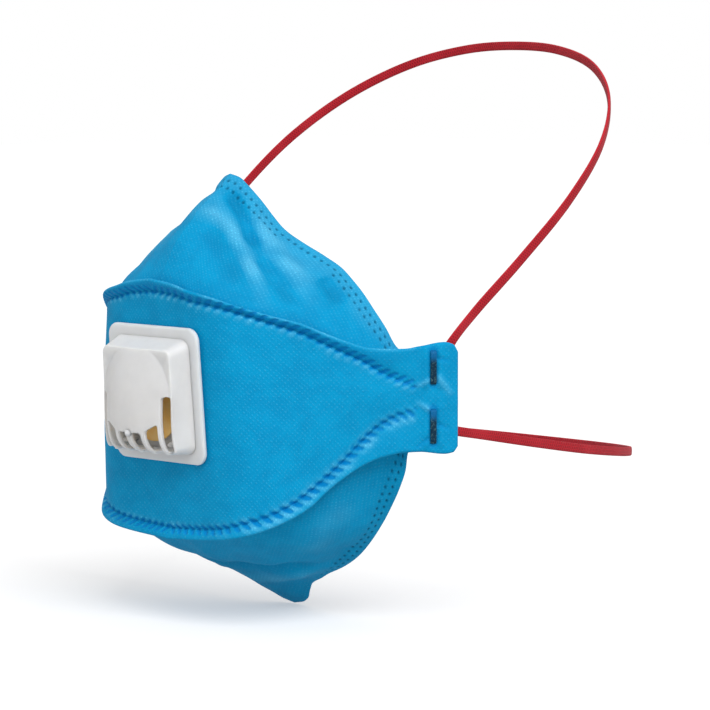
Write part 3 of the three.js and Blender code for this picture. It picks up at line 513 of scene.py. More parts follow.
def on_face(along, z, out=0.0):
    """A point of the outer face at a signed distance along and a height, moved out by `out`."""
    along, z, out = np.broadcast_arrays(np.asarray(along, float), z, out)
    hand = np.where(along < 0, -1.0, 1.0)
    reach = np.abs(along)
    x = np.interp(reach, track_along, track_x)
    y = np.interp(reach, track_along, track_y)
    heading = np.radians(heading_at(reach))
    lean = math.tan(FRONT_LEAN) * (VALVE_Z - z) * (1 - smooth(*LEAN_ENDS, reach))
    outward = FRONT_SPREAD * lean * smooth(*SPREAD_BEGINS, reach)
    return np.stack([hand * (x + outward + out * np.sin(heading)),
                     y + lean - out * np.cos(heading), z], axis=-1)


def on_valve(x, up, out):
    """A point given in the plane of the valve."""
    x, up, out = np.broadcast_arrays(np.asarray(x, float), up, out)
    return np.stack([x, FRONT_Y - math.sin(FRONT_LEAN) * up - math.cos(FRONT_LEAN) * out,
                     VALVE_Z + math.cos(FRONT_LEAN) * up - math.sin(FRONT_LEAN) * out], axis=-1)


# ---- meshes ----
def new_piece(name, points, faces, sharp_degrees=None):
    """An object of these faces, with smooth shading."""
    mesh = bpy.data.meshes.new(name)
    mesh.from_pydata(np.asarray(points).reshape(-1, 3).tolist(), [], [list(map(int, f)) for f in faces])
    mesh.validate()
    mesh.polygons.foreach_set("use_smooth", [True] * len(mesh.polygons))
    if sharp_degrees:
        mesh.set_sharp_from_angle(angle=math.radians(sharp_degrees))
    mesh.update()
    piece = bpy.data.objects.new(name, mesh)
    bpy.context.scene.collection.objects.link(piece)
    return piece


def store(piece, name, values):
    """Keeps a number or a vector for every point of the mesh, for the materials to read."""
    values = np.asarray(values, np.float32)
    kind, field = ("FLOAT", "value") if values.ndim == 1 else ("FLOAT_VECTOR", "vector")
    piece.data.attributes.new(name, kind, "POINT").data.foreach_set(field, values.ravel())


def shell(outer, inner, kept=None):
    """A sheet of two layers of points, closed at its rims and round its holes.

    Gives the points, the faces, and which points of the two layers they are."""
    rows, cols = outer.shape[:2]
    at = np.arange(rows * cols).reshape(rows, cols)
    layer = rows * cols
    if kept is None:
        kept = np.ones((rows - 1, cols - 1), bool)
    i, j = np.nonzero(kept)
    front = np.stack([at[i, j], at[i, j + 1], at[i + 1, j + 1], at[i + 1, j]], axis=1)
    faces = [front, front[:, ::-1] + layer]
    around = np.pad(kept, 1)
    above, below = around[:-1, 1:-1], around[1:, 1:-1]
    left, right = around[1:-1, :-1], around[1:-1, 1:]
    for owner, other, a, b in (
        (below, above, at[:, :-1], at[:, 1:]),
        (above, below, at[:, 1:], at[:, :-1]),
        (right, left, at[1:], at[:-1]),
        (left, right, at[:-1], at[1:]),
    ):
        edge = owner & ~other
        faces.append(np.stack([b[edge], a[edge], a[edge] + layer, b[edge] + layer], axis=1))
    faces = np.concatenate(faces)
    points = np.concatenate([outer.reshape(-1, 3), inner.reshape(-1, 3)])
    first, second, last = points[front[:, 0]], points[front[:, 1]], points[front[:, 3]]
    outward_of_cell = first - points[front[:, 0] + layer]
    if np.sum(np.cross(second - first, last - first) * outward_of_cell) < 0:
        faces = faces[:, ::-1]
    used, faces = np.unique(faces, return_inverse=True)
    return points[used], faces.reshape(-1, 4), used


def cloth_piece(name, outer, inner, kept, **stored):
    """The shell of one panel, with its stored numbers on both layers."""
    points, faces, used = shell(outer, inner, kept)
    piece = new_piece(name, points, faces)
    for key, values in stored.items():
        flat = values.reshape((outer.shape[0] * outer.shape[1],) + values.shape[2:])
        store(piece, key, np.concatenate([flat, flat])[used])
    return piece


def snapped(x, up, distance_to, cell):
    """Moves the points nearest an outline onto it. distance_to gives signed distance."""
    nudge = 1e-5
    for _ in range(2):
        d = distance_to(x, up)
        slope_x = (distance_to(x + nudge, up) - d) / nudge
        slope_up = (distance_to(x, up + nudge) - d) / nudge
        near = np.abs(d) < 0.55 * cell
        x = x - np.where(near, d * slope_x, 0.0)
        up = up - np.where(near, d * slope_up, 0.0)
    return x, up


def cells_outside(distances):
    """The cells of a grid whose middle lies outside an outline."""
    middle = (distances[:-1, :-1] + distances[1:, :-1] + distances[:-1, 1:] + distances[1:, 1:]) / 4
    return middle > 0


def ring_faces(rings, around, closed):
    """Quads between rows of ring points."""
    i, k = np.meshgrid(np.arange(rings if closed else rings - 1), np.arange(around), indexing="ij")
    below, after = (i + 1) % rings, (k + 1) % around
    return np.stack([i * around + k, i * around + after, below * around + after, below * around + k],
                    axis=-1).reshape(-1, 4)


def sweep(name, centres, across, through, section, sharp_degrees=None):
    """A band swept along centres, its section given as pairs of shares across and through."""
    rings = (centres[:, None, :] + section[None, :, :1] * across[:, None, :]
             + section[None, :, 1:] * through[:, None, :])
    count, sides = rings.shape[:2]
    caps = [list(range(sides))[::-1], [(count - 1) * sides + side for side in range(sides)]]
    faces = [*ring_faces(count, sides, False).tolist(), *caps]
    return new_piece(name, rings, faces, sharp_degrees), rings


def superellipse(count, power):
    """Section of a flat band: pairs from -0.5 to 0.5, with round corners."""
    angle = np.linspace(0, 2 * math.pi, count, endpoint=False)
    c, s = np.cos(angle), np.sin(angle)
    return 0.5 * np.stack([np.sign(c) * np.abs(c) ** (2 / power), np.sign(s) * np.abs(s) ** (2 / power)],
                          axis=1)


def finished(piece, material, slot, *nodes):
    """Gives a piece its material, and lets it ride in place of its CAD nodes. The slot is not used."""
    piece.data.materials.clear()
    piece.data.materials.append(material)
    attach(piece, "root")
    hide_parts(*nodes)
    return piece


# ---- materials ----
class Nodes:
    """A short hand for building one node material."""

    def __init__(self, name):
        self.material = bpy.data.materials.new(name)
        self.material.use_nodes = True
        self.tree = self.material.node_tree
        self.tree.nodes.clear()
        self.shader = self.add("ShaderNodeBsdfPrincipled")
        output = self.add("ShaderNodeOutputMaterial")
        self.tree.links.new(self.shader.outputs[0], output.inputs[0])

    def add(self, kind, **settings):
        node = self.tree.nodes.new(kind)
        for key, value in settings.items():
            setattr(node, key, value)
        return node

    def join(self, value, socket):
        if isinstance(value, bpy.types.NodeSocket):
            self.tree.links.new(value, socket)
        else:
            socket.default_value = value

    def attribute(self, name, output="Vector"):
        return self.add("ShaderNodeAttribute", attribute_name=name).outputs[output]

    def maths(self, operation, a, b=0.0, clamp=False):
        node = self.add("ShaderNodeMath", operation=operation, use_clamp=clamp)
        self.join(a, node.inputs[0])
        self.join(b, node.inputs[1])
        return node.outputs[0]

    def split(self, vector):
        node = self.add("ShaderNodeSeparateXYZ")
        self.join(vector, node.inputs[0])
        return node.outputs

    def noise(self, vector, scale, detail=3.0, roughness=0.55, distortion=0.0):
        node = self.add("ShaderNodeTexNoise")
        self.join(vector, node.inputs["Vector"])
        node.inputs["Scale"].default_value = scale
        node.inputs["Detail"].default_value = detail
        node.inputs["Roughness"].default_value = roughness
        node.inputs["Distortion"].default_value = distortion
        return node.outputs["Fac"]

    def ranged(self, value, low, high, to_low=0.0, to_high=1.0):
        node = self.add("ShaderNodeMapRange", interpolation_type="SMOOTHSTEP")
        for socket, number in zip(node.inputs[:5], (value, low, high, to_low, to_high)):
            self.join(number, socket)
        return node.outputs["Result"]

    def mix(self, share, a, b):
        node = self.add("ShaderNodeMix", data_type="RGBA")
        for socket, number in zip((node.inputs[0], node.inputs[6], node.inputs[7]), (share, a, b)):
            self.join(number, socket)
        return node.outputs[2]

    def bump(self, height, strength, distance):
        node = self.add("ShaderNodeBump")
        node.inputs["Strength"].default_value = strength
        node.inputs["Distance"].default_value = distance
        self.join(height, node.inputs["Height"])
        self.join(node.outputs["Normal"], self.shader.inputs["Normal"])

    def set(self, **values):
        for key, value in values.items():
            self.join(value, self.shader.inputs[key.replace("_", " ")])


def rgba(colour, share=1.0):
    return (*[min(1.0, c * share) for c in colour], 1.0)


def nonwoven_material(cloth):
    """Blue spunbond: fibres, a fine diamond emboss, and darker pressed marks, with painted sheen on the
    ridges and painted shade in the valleys, on the upper fins and round the staples.
    """
    n = Nodes("nonwoven_cloth")
    place = n.attribute("cloth")  # millimetres along and across the panel
    pressed = n.attribute("pressed", "Fac")
    x, y, _ = n.split(place)
    worn = n.attribute("worn", "Fac")  # 1 where sheen is painted on the ridges, -1 where shade is painted in the valleys
    turn = 2 * math.pi * MM / cloth.emboss_pitch
    wobble = n.maths("MULTIPLY", n.noise(place, 0.8, 2.0), 3.0)
    across = n.maths("COSINE", n.maths("ADD", n.maths("MULTIPLY", x, turn), wobble))
    down = n.maths("COSINE", n.maths("SUBTRACT", n.maths("MULTIPLY", y, turn), wobble))
    uneven = n.ranged(n.noise(place, 0.75, 3.0, 0.65), 0.36, 0.66, 0.15, 1.0)
    pips = n.maths("MULTIPLY", n.ranged(n.maths("MULTIPLY", across, down), 0.10, 0.95), uneven)
    fibres = n.noise(place, 2.2, 6.0, 0.72, 0.6)
    clouds = n.ranged(n.noise(place, 0.13, 3.0, 0.6), 0.30, 0.70)
    flecks = n.ranged(n.noise(place, 1.1, 4.0, 0.7), 0.52, 0.76)
    ridge = n.maths("MAXIMUM", worn, 0.0)
    valley = n.maths("MAXIMUM", n.maths("MULTIPLY", worn, -1.0), 0.0)

    body = n.mix(n.maths("MULTIPLY", clouds, 0.42), rgba(cloth.blue), rgba(cloth.deep_blue))
    body = n.mix(n.maths("MULTIPLY", flecks, 0.14), body, rgba(cloth.pale_blue, 0.85))
    # painted shade in the valleys of the folds
    body = n.mix(n.maths("MULTIPLY", valley, 0.42), body, rgba(cloth.deep_blue, 0.72))
    # painted sheen on the ridges, broken up by the fibres
    ridge_sheen = n.maths("MULTIPLY", ridge, n.ranged(fibres, 0.30, 0.66, 0.25, 0.75))
    body = n.mix(ridge_sheen, body, rgba(cloth.pale_blue))
    # pale dots of the emboss, brightened on the ridges as painted highlight
    pip_share = n.maths("MULTIPLY", pips, n.maths("ADD", 0.16, n.maths("MULTIPLY", ridge, 0.80)))
    body = n.mix(pip_share, body, rgba(PIP_BLUE))
    # the weld marks, and painted shade on the upper fins, round the staples and in the sunken tab creases
    colour = n.mix(n.maths("MULTIPLY", pressed, 0.82), body, rgba(cloth.weld_blue))
    colour = n.mix(n.maths("MULTIPLY", n.attribute("pricked", "Fac"), 0.80), colour, rgba(cloth.dot_blue))
    n.set(Base_Color=colour, Specular_IOR_Level=0.07, Sheen_Weight=0.015, Sheen_Roughness=0.45)
    n.set(Sheen_Tint=rgba(SHEEN_BLUE))
    roughness = n.maths("SUBTRACT", fibres, n.maths("MULTIPLY", pressed, 0.35))
    n.set(Roughness=n.ranged(roughness, 0.1, 0.9, 0.52, 0.80))
    height = n.maths("ADD", n.maths("MULTIPLY", pips, 0.50), n.maths("MULTIPLY", fibres, 0.55))
    n.bump(n.maths("MULTIPLY", height, n.ranged(pressed, 0.0, 1.0, 1.0, 0.35)), 0.6, 0.00030)
    return n.material


def plastic_material(valve):
    """White moulded plastic with a faint mould texture and handling haze."""
    n = Nodes("moulded_plastic")
    place = n.add("ShaderNodeTexCoord").outputs["Object"]
    grain = n.noise(place, 2600.0, 3.0, 0.6)
    haze = n.noise(place, 130.0, 3.0, 0.55)
    colour = n.mix(n.ranged(haze, 0.35, 0.75), rgba(valve.plastic), rgba(valve.plastic, 0.95))
    n.set(Base_Color=colour, Specular_IOR_Level=0.42, Subsurface_Weight=0.7, Subsurface_Scale=0.005)
    n.set(Subsurface_Radius=(1.0, 0.95, 0.85))
    roughness = n.maths("ADD", haze, n.maths("MULTIPLY", grain, 0.25))
    n.set(Roughness=n.ranged(roughness, 0.35, 0.95, 0.34, 0.50))
    n.bump(grain, 0.10, 0.00006)
    return n.material


def rubber_material(valve):
    """Orange flap rubber with a soft bloom."""
    n = Nodes("flap_rubber")
    place = n.add("ShaderNodeTexCoord").outputs["Object"]
    bloom = n.noise(place, 210.0, 4.0, 0.6)
    fine = n.noise(place, 1900.0, 3.0, 0.6)
    colour = n.mix(n.ranged(bloom, 0.35, 0.7), rgba(valve.rubber), rgba(BLOOM_ORANGE))
    n.set(Base_Color=colour, Specular_IOR_Level=0.35, Roughness=n.ranged(bloom, 0.3, 0.8, 0.42, 0.60))
    n.bump(fine, 0.12, 0.00005)
    return n.material


def elastic_material(straps):
    """Red braided elastic: lengthwise ribs crossed by slanting yarns."""
    n = Nodes("braided_elastic")
    place = n.attribute("braid")  # millimetres along and across the strap
    along, across, _ = n.split(place)
    rib = n.maths("COSINE", n.maths("MULTIPLY", across, 2 * math.pi / RIB_PITCH_MM))
    yarn_turn = n.maths("MULTIPLY", along, 2 * math.pi / YARN_PITCH_MM)
    yarn_shift = n.maths("MULTIPLY", across, YARN_SLANT)
    slant = n.maths("ADD", yarn_turn, yarn_shift)
    counter = n.maths("SUBTRACT", yarn_turn, yarn_shift)
    braid = n.maths("MAXIMUM", n.maths("COSINE", slant), n.maths("COSINE", counter))
    yarn = n.ranged(n.maths("ADD", braid, n.maths("MULTIPLY", rib, 0.5)), -0.6, 1.3)
    fuzz = n.noise(place, 3.5, 5.0, 0.7)
    # random patches of wear on the yarn
    worn = n.noise(place, 0.08, 2.0, 0.5)
    body = n.mix(yarn, rgba(straps.red, 0.45), rgba(straps.red))
    body = n.mix(n.maths("MULTIPLY", n.ranged(worn, 0.4, 0.7), 0.22), body, rgba(WORN_RED))
    n.set(Base_Color=body, Specular_IOR_Level=0.25, Sheen_Weight=0.12, Sheen_Roughness=0.5)
    n.set(Sheen_Tint=rgba(SHEEN_RED), Roughness=n.ranged(fuzz, 0.2, 0.8, 0.62, 0.85))
    n.bump(n.maths("ADD", yarn, n.maths("MULTIPLY", fuzz, 0.4)), 0.7, 0.00016)
    return n.material


def steel_material(straps):
    """Dark staple wire with worn bright specks, veiled by fibres of the cloth at its upper end."""
    n = Nodes("staple_wire")
    place = n.add("ShaderNodeTexCoord").outputs["Object"]
    veil = n.attribute("veil", "Fac")
    specks = n.noise(place, 1900.0, 3.0, 0.6)
    tarnish = n.noise(place, 520.0, 4.0, 0.6)
    bright = n.maths("MULTIPLY", n.ranged(specks, 0.50, 0.62), n.ranged(tarnish, 0.40, 0.60, 0.35, 1.0))
    colour = n.mix(bright, rgba(straps.steel), rgba(SPECK_STEEL))
    colour = n.mix(n.maths("MULTIPLY", veil, 0.8), colour, rgba(VEIL_BLUE))
    n.set(Base_Color=colour, Metallic=n.maths("MULTIPLY", bright, 0.4), Specular_IOR_Level=0.12)
    n.set(Roughness=n.ranged(tarnish, 0.3, 0.7, 0.42, 0.66))
    n.bump(specks, 0.35, 0.00006)
    return n.material


def floor_material():
    """Plain pale floor with a faint grain, which throws little light back at what stands on it."""
    n = Nodes("pale_floor")
    grain = n.noise(n.add("ShaderNodeTexCoord").outputs["Object"], 60.0, 3.0)
    seen = n.add("ShaderNodeLightPath").outputs["Is Camera Ray"]
    pale = n.mix(grain, *[rgba(colour) for colour in FLOOR_SEEN])
    n.set(Base_Color=n.mix(seen, rgba(FLOOR_UNSEEN), pale), Roughness=0.9, Specular_IOR_Level=0.1)
    n.set(Emission_Color=(1.0, 1.0, 1.0, 1.0))
    glow = n.maths("MULTIPLY", seen, FLOOR_GLOW["seen"])
    n.set(Emission_Strength=n.maths("ADD", glow, FLOOR_GLOW["always"]))
    return n.material


# ---- pressed marks in the cloth ----
def weld_marks(turn, seam_d):
    """Depth share of the slanting weld marks: turns of the pitch along the seam, distance across it."""
    off = turn - np.floor(turn) - 0.5
    shape = ((np.abs(off) / MARK["half_turn"]) ** MARK["power"]
             + (np.abs(seam_d) / MARK["half_width"]) ** MARK["power"])
    return 1 - smooth(*MARK["edge"], shape)


def edge_dots(edge_s, edge_d, rows, pitch):
    """Depth share of the round dots pressed in rows beside a free edge."""
    total = np.zeros_like(edge_d)
    reach = np.abs(edge_s)
    for row in rows:
        turn = edge_s / pitch + row["offset"]
        s = (turn - np.floor(turn) - 0.5) * pitch
        radius = np.hypot(s, edge_d - row["inset"])
        shown = smooth(row["begins"] - row["fade"], row["begins"], reach)
        shown = shown * (1 - smooth(row["ends"], row["ends"] + DOT_ROW_END, reach))
        total = np.maximum(total, shown * (1 - smooth(*DOT_EDGE, radius)))
    return total


def fold_relief(grid, stations, shares, folds):
    """Height of the folds over a panel: each one a soft ridge or valley along a line of the panel."""
    total = np.zeros(grid.shape[:2])
    for fold in folds:
        line = []
        for along, share in fold["line"]:
            column = np.clip(np.searchsorted(stations, along * MM), 0, len(stations) - 1)
            row = np.clip(np.searchsorted(shares, share), 0, len(shares) - 1)
            line.append(grid[row, column])
        line = np.array(line)
        reach = arc_length(line)
        nearest = np.full(grid.shape[:2], 1e9)
        where = np.zeros(grid.shape[:2])
        for k in range(len(line) - 1):
            leg = line[k + 1] - line[k]
            t = np.clip(((grid - line[k]) @ leg) / (leg @ leg), 0, 1)
            d = np.linalg.norm(grid - line[k] - t[..., None] * leg, axis=-1)
            closer = d < nearest
            nearest = np.where(closer, d, nearest)
            where = np.where(closer, reach[k] + t * (reach[k + 1] - reach[k]), where)
        where = where / reach[-1]
        ends = smooth(0, FOLD_ENDS["begins"], where) * (1 - smooth(FOLD_ENDS["ends"], 1.0, where))
        kept = FOLD_ENDS["least"] + (1 - FOLD_ENDS["least"]) * ends
        total += fold["height"] * np.exp(-(nearest / fold["spread"]) ** 2) * kept
    return total


# ---- centre panel ----
def centre_panel_rows():
    """Shares of a fin's height, and of the field between the welds, at which the rows lie."""
    beside_weld = np.array(BESIDE_WELD)
    inner = np.linspace(beside_weld[-1], 1 - beside_weld[-1], FIELD_ROWS)
    return np.linspace(0, 1, FIN_ROWS), np.concatenate([beside_weld[:-1], inner, 1 - beside_weld[-2::-1]])


def rim_rounding(rim, reach):
    """Share of the thickness left at a distance from a cut edge."""
    return np.sqrt(np.clip(1 - (1 - np.clip(rim / reach, 0, 1)) ** 2, LEAST_ROUND, 1))


def tab_relief(along, z, out, pressed, worn):
    """The cloth swells beside each staple, and creases away from its ends. Shade is painted round each
    staple, sheen on the raised creases and shade in the sunken ones.
    """
    for staple in STAPLES:
        beside = np.abs(np.abs(along) - STAPLE["along"])
        beyond = np.maximum(0, np.abs(z - staple["centre"]) - staple["length"] / 2)
        within = 1 - smooth(0.0, STAPLE_SWELL["reach"], beyond)
        swell = np.exp(-((beside - STAPLE_SWELL["beside"]) / STAPLE_SWELL["spread"]) ** 2) * within
        sink = STAPLE_SWELL["sink"] * (1 - smooth(0.0006, 0.0013, beside)) * within
        out = out + STAPLE_SWELL["height"] * swell - sink
        shade = 1 - smooth(*STAPLE_SHADE["edge"], np.hypot(beside, beyond))
        pressed = np.maximum(pressed, STAPLE_SHADE["share"] * shade)
    for crease in TAB_CREASES:
        (a0, z0), (a1, z1) = crease["from"], crease["to"]
        leg = np.array([a1 - a0, z1 - z0])
        t = np.clip(((np.abs(along) - a0) * leg[0] + (z - z0) * leg[1]) / (leg @ leg), 0, 1)
        off = np.hypot(np.abs(along) - a0 - t * leg[0], z - z0 - t * leg[1])
        line = np.exp(-(off / crease["spread"]) ** 2) * (1 - 0.6 * t)
        out = out + crease["height"] * line
        # painted sheen on a raised crease, painted shade in a sunken one
        if crease["height"] > 0:
            worn = np.maximum(worn, 0.8 * line)
        else:
            pressed = np.maximum(pressed, 0.5 * line)
    return out, pressed, worn


def build_centre_panel(cloth):
    """The centre panel with its tabs. Gives the piece, its flat length and height, and its area."""
    stations = np.linspace(-HALF_LENGTH, HALF_LENGTH, CENTRE_STATIONS)
    reach = np.abs(stations)
    hand = np.where(stations < 0, -1.0, 1.0)
    fin_share, field_share = centre_panel_rows()
    crest_low, weld_low = low_crest(reach), low_weld(reach)
    weld_top, crest_top = top_weld(reach), top_crest(reach)
    z = np.concatenate([
        crest_low + (weld_low - crest_low) * fin_share[:, None],
        (weld_low + (weld_top - weld_low) * field_share[:, None])[1:],
        (crest_top + (weld_top - crest_top) * fin_share[::-1, None])[1:],
    ])
    along = np.broadcast_to(stations, z.shape)

    # the valve hole and its neighbours lie on a round outline in the valve plane
    def hole_distance(a, height):
        return np.hypot(a, height - VALVE_Z - ORIFICE["up"]) - PANEL_HOLE_RADIUS

    along, z = snapped(along, z, hole_distance, HOLE_CELL)
    kept = cells_outside(hole_distance(along, z))

    fin = 1 - smooth(*FIN_ENDS, reach)
    below, above = z < weld_low, z > weld_top
    fin_in = np.where(below, (z - crest_low) / (weld_low - crest_low),
                      np.where(above, (crest_top - z) / (crest_top - weld_top), 1.0))
    on_fin = below | above
    fin_out = FIN_FLARE - (FIN_FLARE + WELD_SINK) * np.clip(fin_in, 0, 1) ** FIN_CURVE
    to_weld = np.minimum(np.abs(z - weld_low), np.abs(z - weld_top))
    field_out = -WELD_SINK * (1 - smooth(0, WELD_LINE_REACH, to_weld))
    field = np.clip((z - weld_low) / (weld_top - weld_low), 0, 1)
    pillow = PILLOW * smooth(*PILLOW_BEGINS, reach) * np.sin(math.pi * field)
    out = fin * np.where(on_fin, fin_out, field_out + pillow)

    # slow waves in the field, away from the valve
    away = np.hypot(along, z - VALVE_Z) - VALVE_REACH
    waves = unevenness(along, z, FIELD_WAVES["height"], FIELD_WAVES["length"])
    out = out + waves * smooth(*VALVE_CALM, away) * np.sin(math.pi * field)

    # weld marks, the puckers that fan out from them, painted highlights on the pucker ridges, the low fin's
    # lip and the crest, and painted shade on the upper fin
    seam_fade = smooth(*PUCKER["begins"], reach) * (1 - smooth(*PUCKER["ends"], reach))
    fade = 1 - smooth(*MARK["ends"], reach)
    patchy = PATCHES["middle"] + unevenness(along, z, PATCHES["height"], PATCHES["length"])

    pressed, worn = np.zeros_like(z), np.zeros_like(z)
    spacing = reader(WELD_SPACING, 1)
    for weld, mark in zip((weld_low, weld_top), SEAM_MARKS):
        inward, shift = mark["inward"], mark["shift"]
        seam_s = arc_length(on_face(stations, weld, 0.0))
        steps = np.diff(seam_s) / (cloth.weld_pitch * spacing(reach[1:]))
        turns = np.concatenate([[0.0], np.cumsum(steps)])
        turns = turns - np.interp(0.0, stations, turns)
        slope = np.gradient(weld, stations)
        seam_d = (z - weld) / np.sqrt(1 + slope ** 2)
        s = seam_s + seam_d * slope + mark["lean"] * hand * (seam_d - shift)
        turn = np.interp(s, seam_s, turns)
        marks = weld_marks(turn, seam_d - shift) * fade
        ridge = (0.5 + 0.5 * np.cos(2 * math.pi * turn)) * fade
        inside = seam_d * inward
        puckers = ridge * np.exp(-((inside - PUCKER["inset"]) / PUCKER["spread"]) ** 2)
        out = out + PUCKER["height"] * puckers * seam_fade
        pressed = np.maximum(pressed, marks)
        # painted highlight on the pucker ridges between the marks
        tails = TAIL["share"] * np.exp(-((inside - TAIL["inset"]) / TAIL["spread"]) ** 2)
        if inward > 0:
            # painted highlight on the low fin's lip, which faces up
            below_weld = np.exp(-((inside - LOW_TAIL["inset"]) / LOW_TAIL["spread"]) ** 2)
            tails = LOW_TAIL["share"] * tails + below_weld * smooth(*LOW_TAIL["begins"], reach)
            worn = np.maximum(worn, tails * (0.30 + 0.70 * ridge) * patchy * (1 - marks) * fade)
        else:
            # painted highlight along the crest
            crest = CREST_HIGHLIGHT["share"] * np.exp(-((crest_top - z) / CREST_HIGHLIGHT["spread"]) ** 2)
            worn = np.maximum(worn, np.maximum(tails * ridge * (1 - marks), crest * fade) * patchy)
            # painted shade on the down-facing band of the upper fin
            band = smooth(*FIN_SHADE["begins"], z - weld_top) * smooth(*FIN_SHADE["ends"], crest_top - z)
            band = band * (1 - smooth(*FIN_SHADE["fades"], reach))
            pressed = np.maximum(pressed, FIN_SHADE["share"] * band)
    worn = np.clip(worn, 0, 1)
    out = out - cloth.weld_depth * np.where(on_fin, smooth(0.42, 1.0, pressed), pressed)

    out, pressed, worn = tab_relief(along, z, out, pressed, worn)

    # the rim is rounded, and thinner where the layers are welded together
    rim = np.minimum(np.minimum(z - crest_low, crest_top - z), HALF_LENGTH - np.abs(along))
    thin = CENTRE_RIM["thin"]
    thick = cloth.centre_thick * (thin + (1 - thin) * smooth(0, CENTRE_RIM["reach"], np.maximum(rim, 0)))
    thick = thick * (1 - CENTRE_RIM["weld_thin"] * pressed * (to_weld < CENTRE_RIM["weld_reach"]))
    rounding = rim_rounding(rim, CENTRE_RIM["round"])
    middle = on_face(along, z, out - thick / 2)
    normal = normals_of(on_face(along, z, 0.0), (0, 0.02, 0))
    half = (thick / 2 * rounding)[..., None]
    outer, inner = middle + normal * half, middle - normal * half
    place = np.stack([along / MM, z / MM, rim / MM], axis=-1)
    piece = cloth_piece("centre_cloth", outer, inner, kept, cloth=place, pressed=pressed, worn=worn)
    height = crest_top - crest_low
    return piece, (2 * HALF_LENGTH, float(height.max())), float(np.trapz(height, stations))


# ---- top and bottom panels ----
def side_panel_surface(side, edge_rows, drop_rows, along, share):
    """Points of the top (+1) or bottom (-1) panel: share 0 at the seam, 1 at the free edge."""
    reach = np.abs(along)
    hand = np.where(along < 0, -1.0, 1.0)
    weld = top_weld(reach) if side > 0 else low_weld(reach)
    start = on_face(along, weld + side * SEAM_CLEAR, -SEAM_TUCK)
    edge = [reader(edge_rows, column)(reach) for column in (1, 2, 3)]
    end = np.stack([hand * edge[0], edge[1], edge[2]], axis=-1)
    near_seam, near_edge = CROWN_SHAPE["top"] if side > 0 else (1, 1)
    swell = share ** near_seam * (1 - share) ** near_edge
    crown = PANEL_CROWN * CROWN_SHAPE["gain"] * swell * (1 - smooth(*CROWN_SHAPE["ends"], reach))
    to_side = CROWN_LEAN["side"] * smooth(0, CROWN_LEAN["side_begins"], reach)
    point = start + (end - start) * share[..., None]
    point = point + np.stack([hand * to_side * crown, -CROWN_LEAN["forward"] * crown,
                              side * CROWN_LEAN["up"] * crown], axis=-1)
    if drop_rows:
        drop = reader(drop_rows, 1)(reach) * smooth(CHIN_TAB_FROM, 1.0, share)
        point = point + np.stack([0 * drop, CHIN_TAB_BACK * drop, -drop], axis=-1)
    return point


def build_side_panel(name, side, edge_rows, drop_rows, folds, dot_rows, cloth):
    """The top or bottom panel. Gives the piece, its flat length and depth, and its area."""
    fine = np.linspace(-PANEL_REACH, PANEL_REACH, SIDE_STATIONS)
    edge_line = side_panel_surface(side, edge_rows, drop_rows, fine, np.ones_like(fine))
    stations = even_stations(fine, arc_length(edge_line), cloth.dot_pitch, STATIONS_PER_DOT)
    shares = np.concatenate([np.linspace(0, RIM_FROM_SHARE, SIDE_ROWS)[:-1],
                             np.linspace(RIM_FROM_SHARE, 1, RIM_ROWS)])
    along, share = np.meshgrid(stations, shares)
    surface = side_panel_surface(side, edge_rows, drop_rows, along, share)

    down = np.linalg.norm(np.diff(surface, axis=0), axis=-1)
    across = np.concatenate([np.zeros((1, len(stations))), np.cumsum(down, axis=0)])
    edge_d = across[-1] - across
    edge_s = arc_length(surface[-1])
    edge_s = edge_s - edge_s[len(stations) // 2]
    pricked = edge_dots(np.broadcast_to(edge_s, edge_d.shape), edge_d, dot_rows, cloth.dot_pitch)

    normal = normals_of(surface)
    ends = smooth(0.0, 0.010, PANEL_REACH - np.abs(along))
    inside = smooth(0, 0.12, share) * smooth(0, 0.006, edge_d) * ends
    relief = FOLD_GAIN * fold_relief(surface, stations, shares, folds) * smooth(0, 0.10, share) * ends
    patches = unevenness(along, across, SIDE_PATCHES["height"], SIDE_PATCHES["length"])
    patchy = SIDE_PATCHES["middle"] + patches
    # painted sheen on the ridges and painted shade in the valleys follow the folds; the top panel gets
    # painted light towards its free edge
    paler = TOP_PAINTED_LIGHT["share"] * smooth(*TOP_PAINTED_LIGHT["begins"], share) if side > 0 else 0.0
    worn = np.clip(relief / SHEEN_SHADE_RELIEF["top" if side > 0 else "bottom"] * patchy + paler, -1, 1)
    relief = relief + unevenness(along, across, SIDE_WAVES["height"], SIDE_WAVES["length"]) * inside
    drift = EDGE_WAVES["drift"] * np.sin(edge_s / EDGE_WAVES["drift_length"])
    waves = EDGE_WAVES["height"] * np.sin(edge_s / EDGE_WAVES["length"] + drift)
    waves = waves * (1 - smooth(*EDGE_WAVES["fades"], edge_d))
    waves = waves * smooth(*EDGE_WAVES["begins"], np.abs(edge_s))
    relief = relief + waves * ends
    relief = relief - cloth.dot_depth * pricked

    rim = np.minimum(edge_d, PANEL_REACH - np.abs(along))
    thin = SIDE_RIM["thin"]
    thick = cloth.side_thick * (thin + (1 - thin) * smooth(*SIDE_RIM["reach"], rim))
    rounding = rim_rounding(rim, SIDE_RIM["round"])
    middle = surface + normal * (relief - thick / 2)[..., None]
    half = normal * (thick / 2 * rounding)[..., None]
    place = np.stack([along / MM, across / MM, edge_d / MM], axis=-1)
    piece = cloth_piece(name, middle + half, middle - half, None, cloth=place, pricked=pricked, worn=worn)

    depth = across[-1]
    middle_line = arc_length(surface[len(shares) // 2])
    flat = (max(2 * PANEL_REACH, float(middle_line[-1])), float(depth.max()))
    area = float(np.trapz(depth, middle_line))
    return piece, flat, area


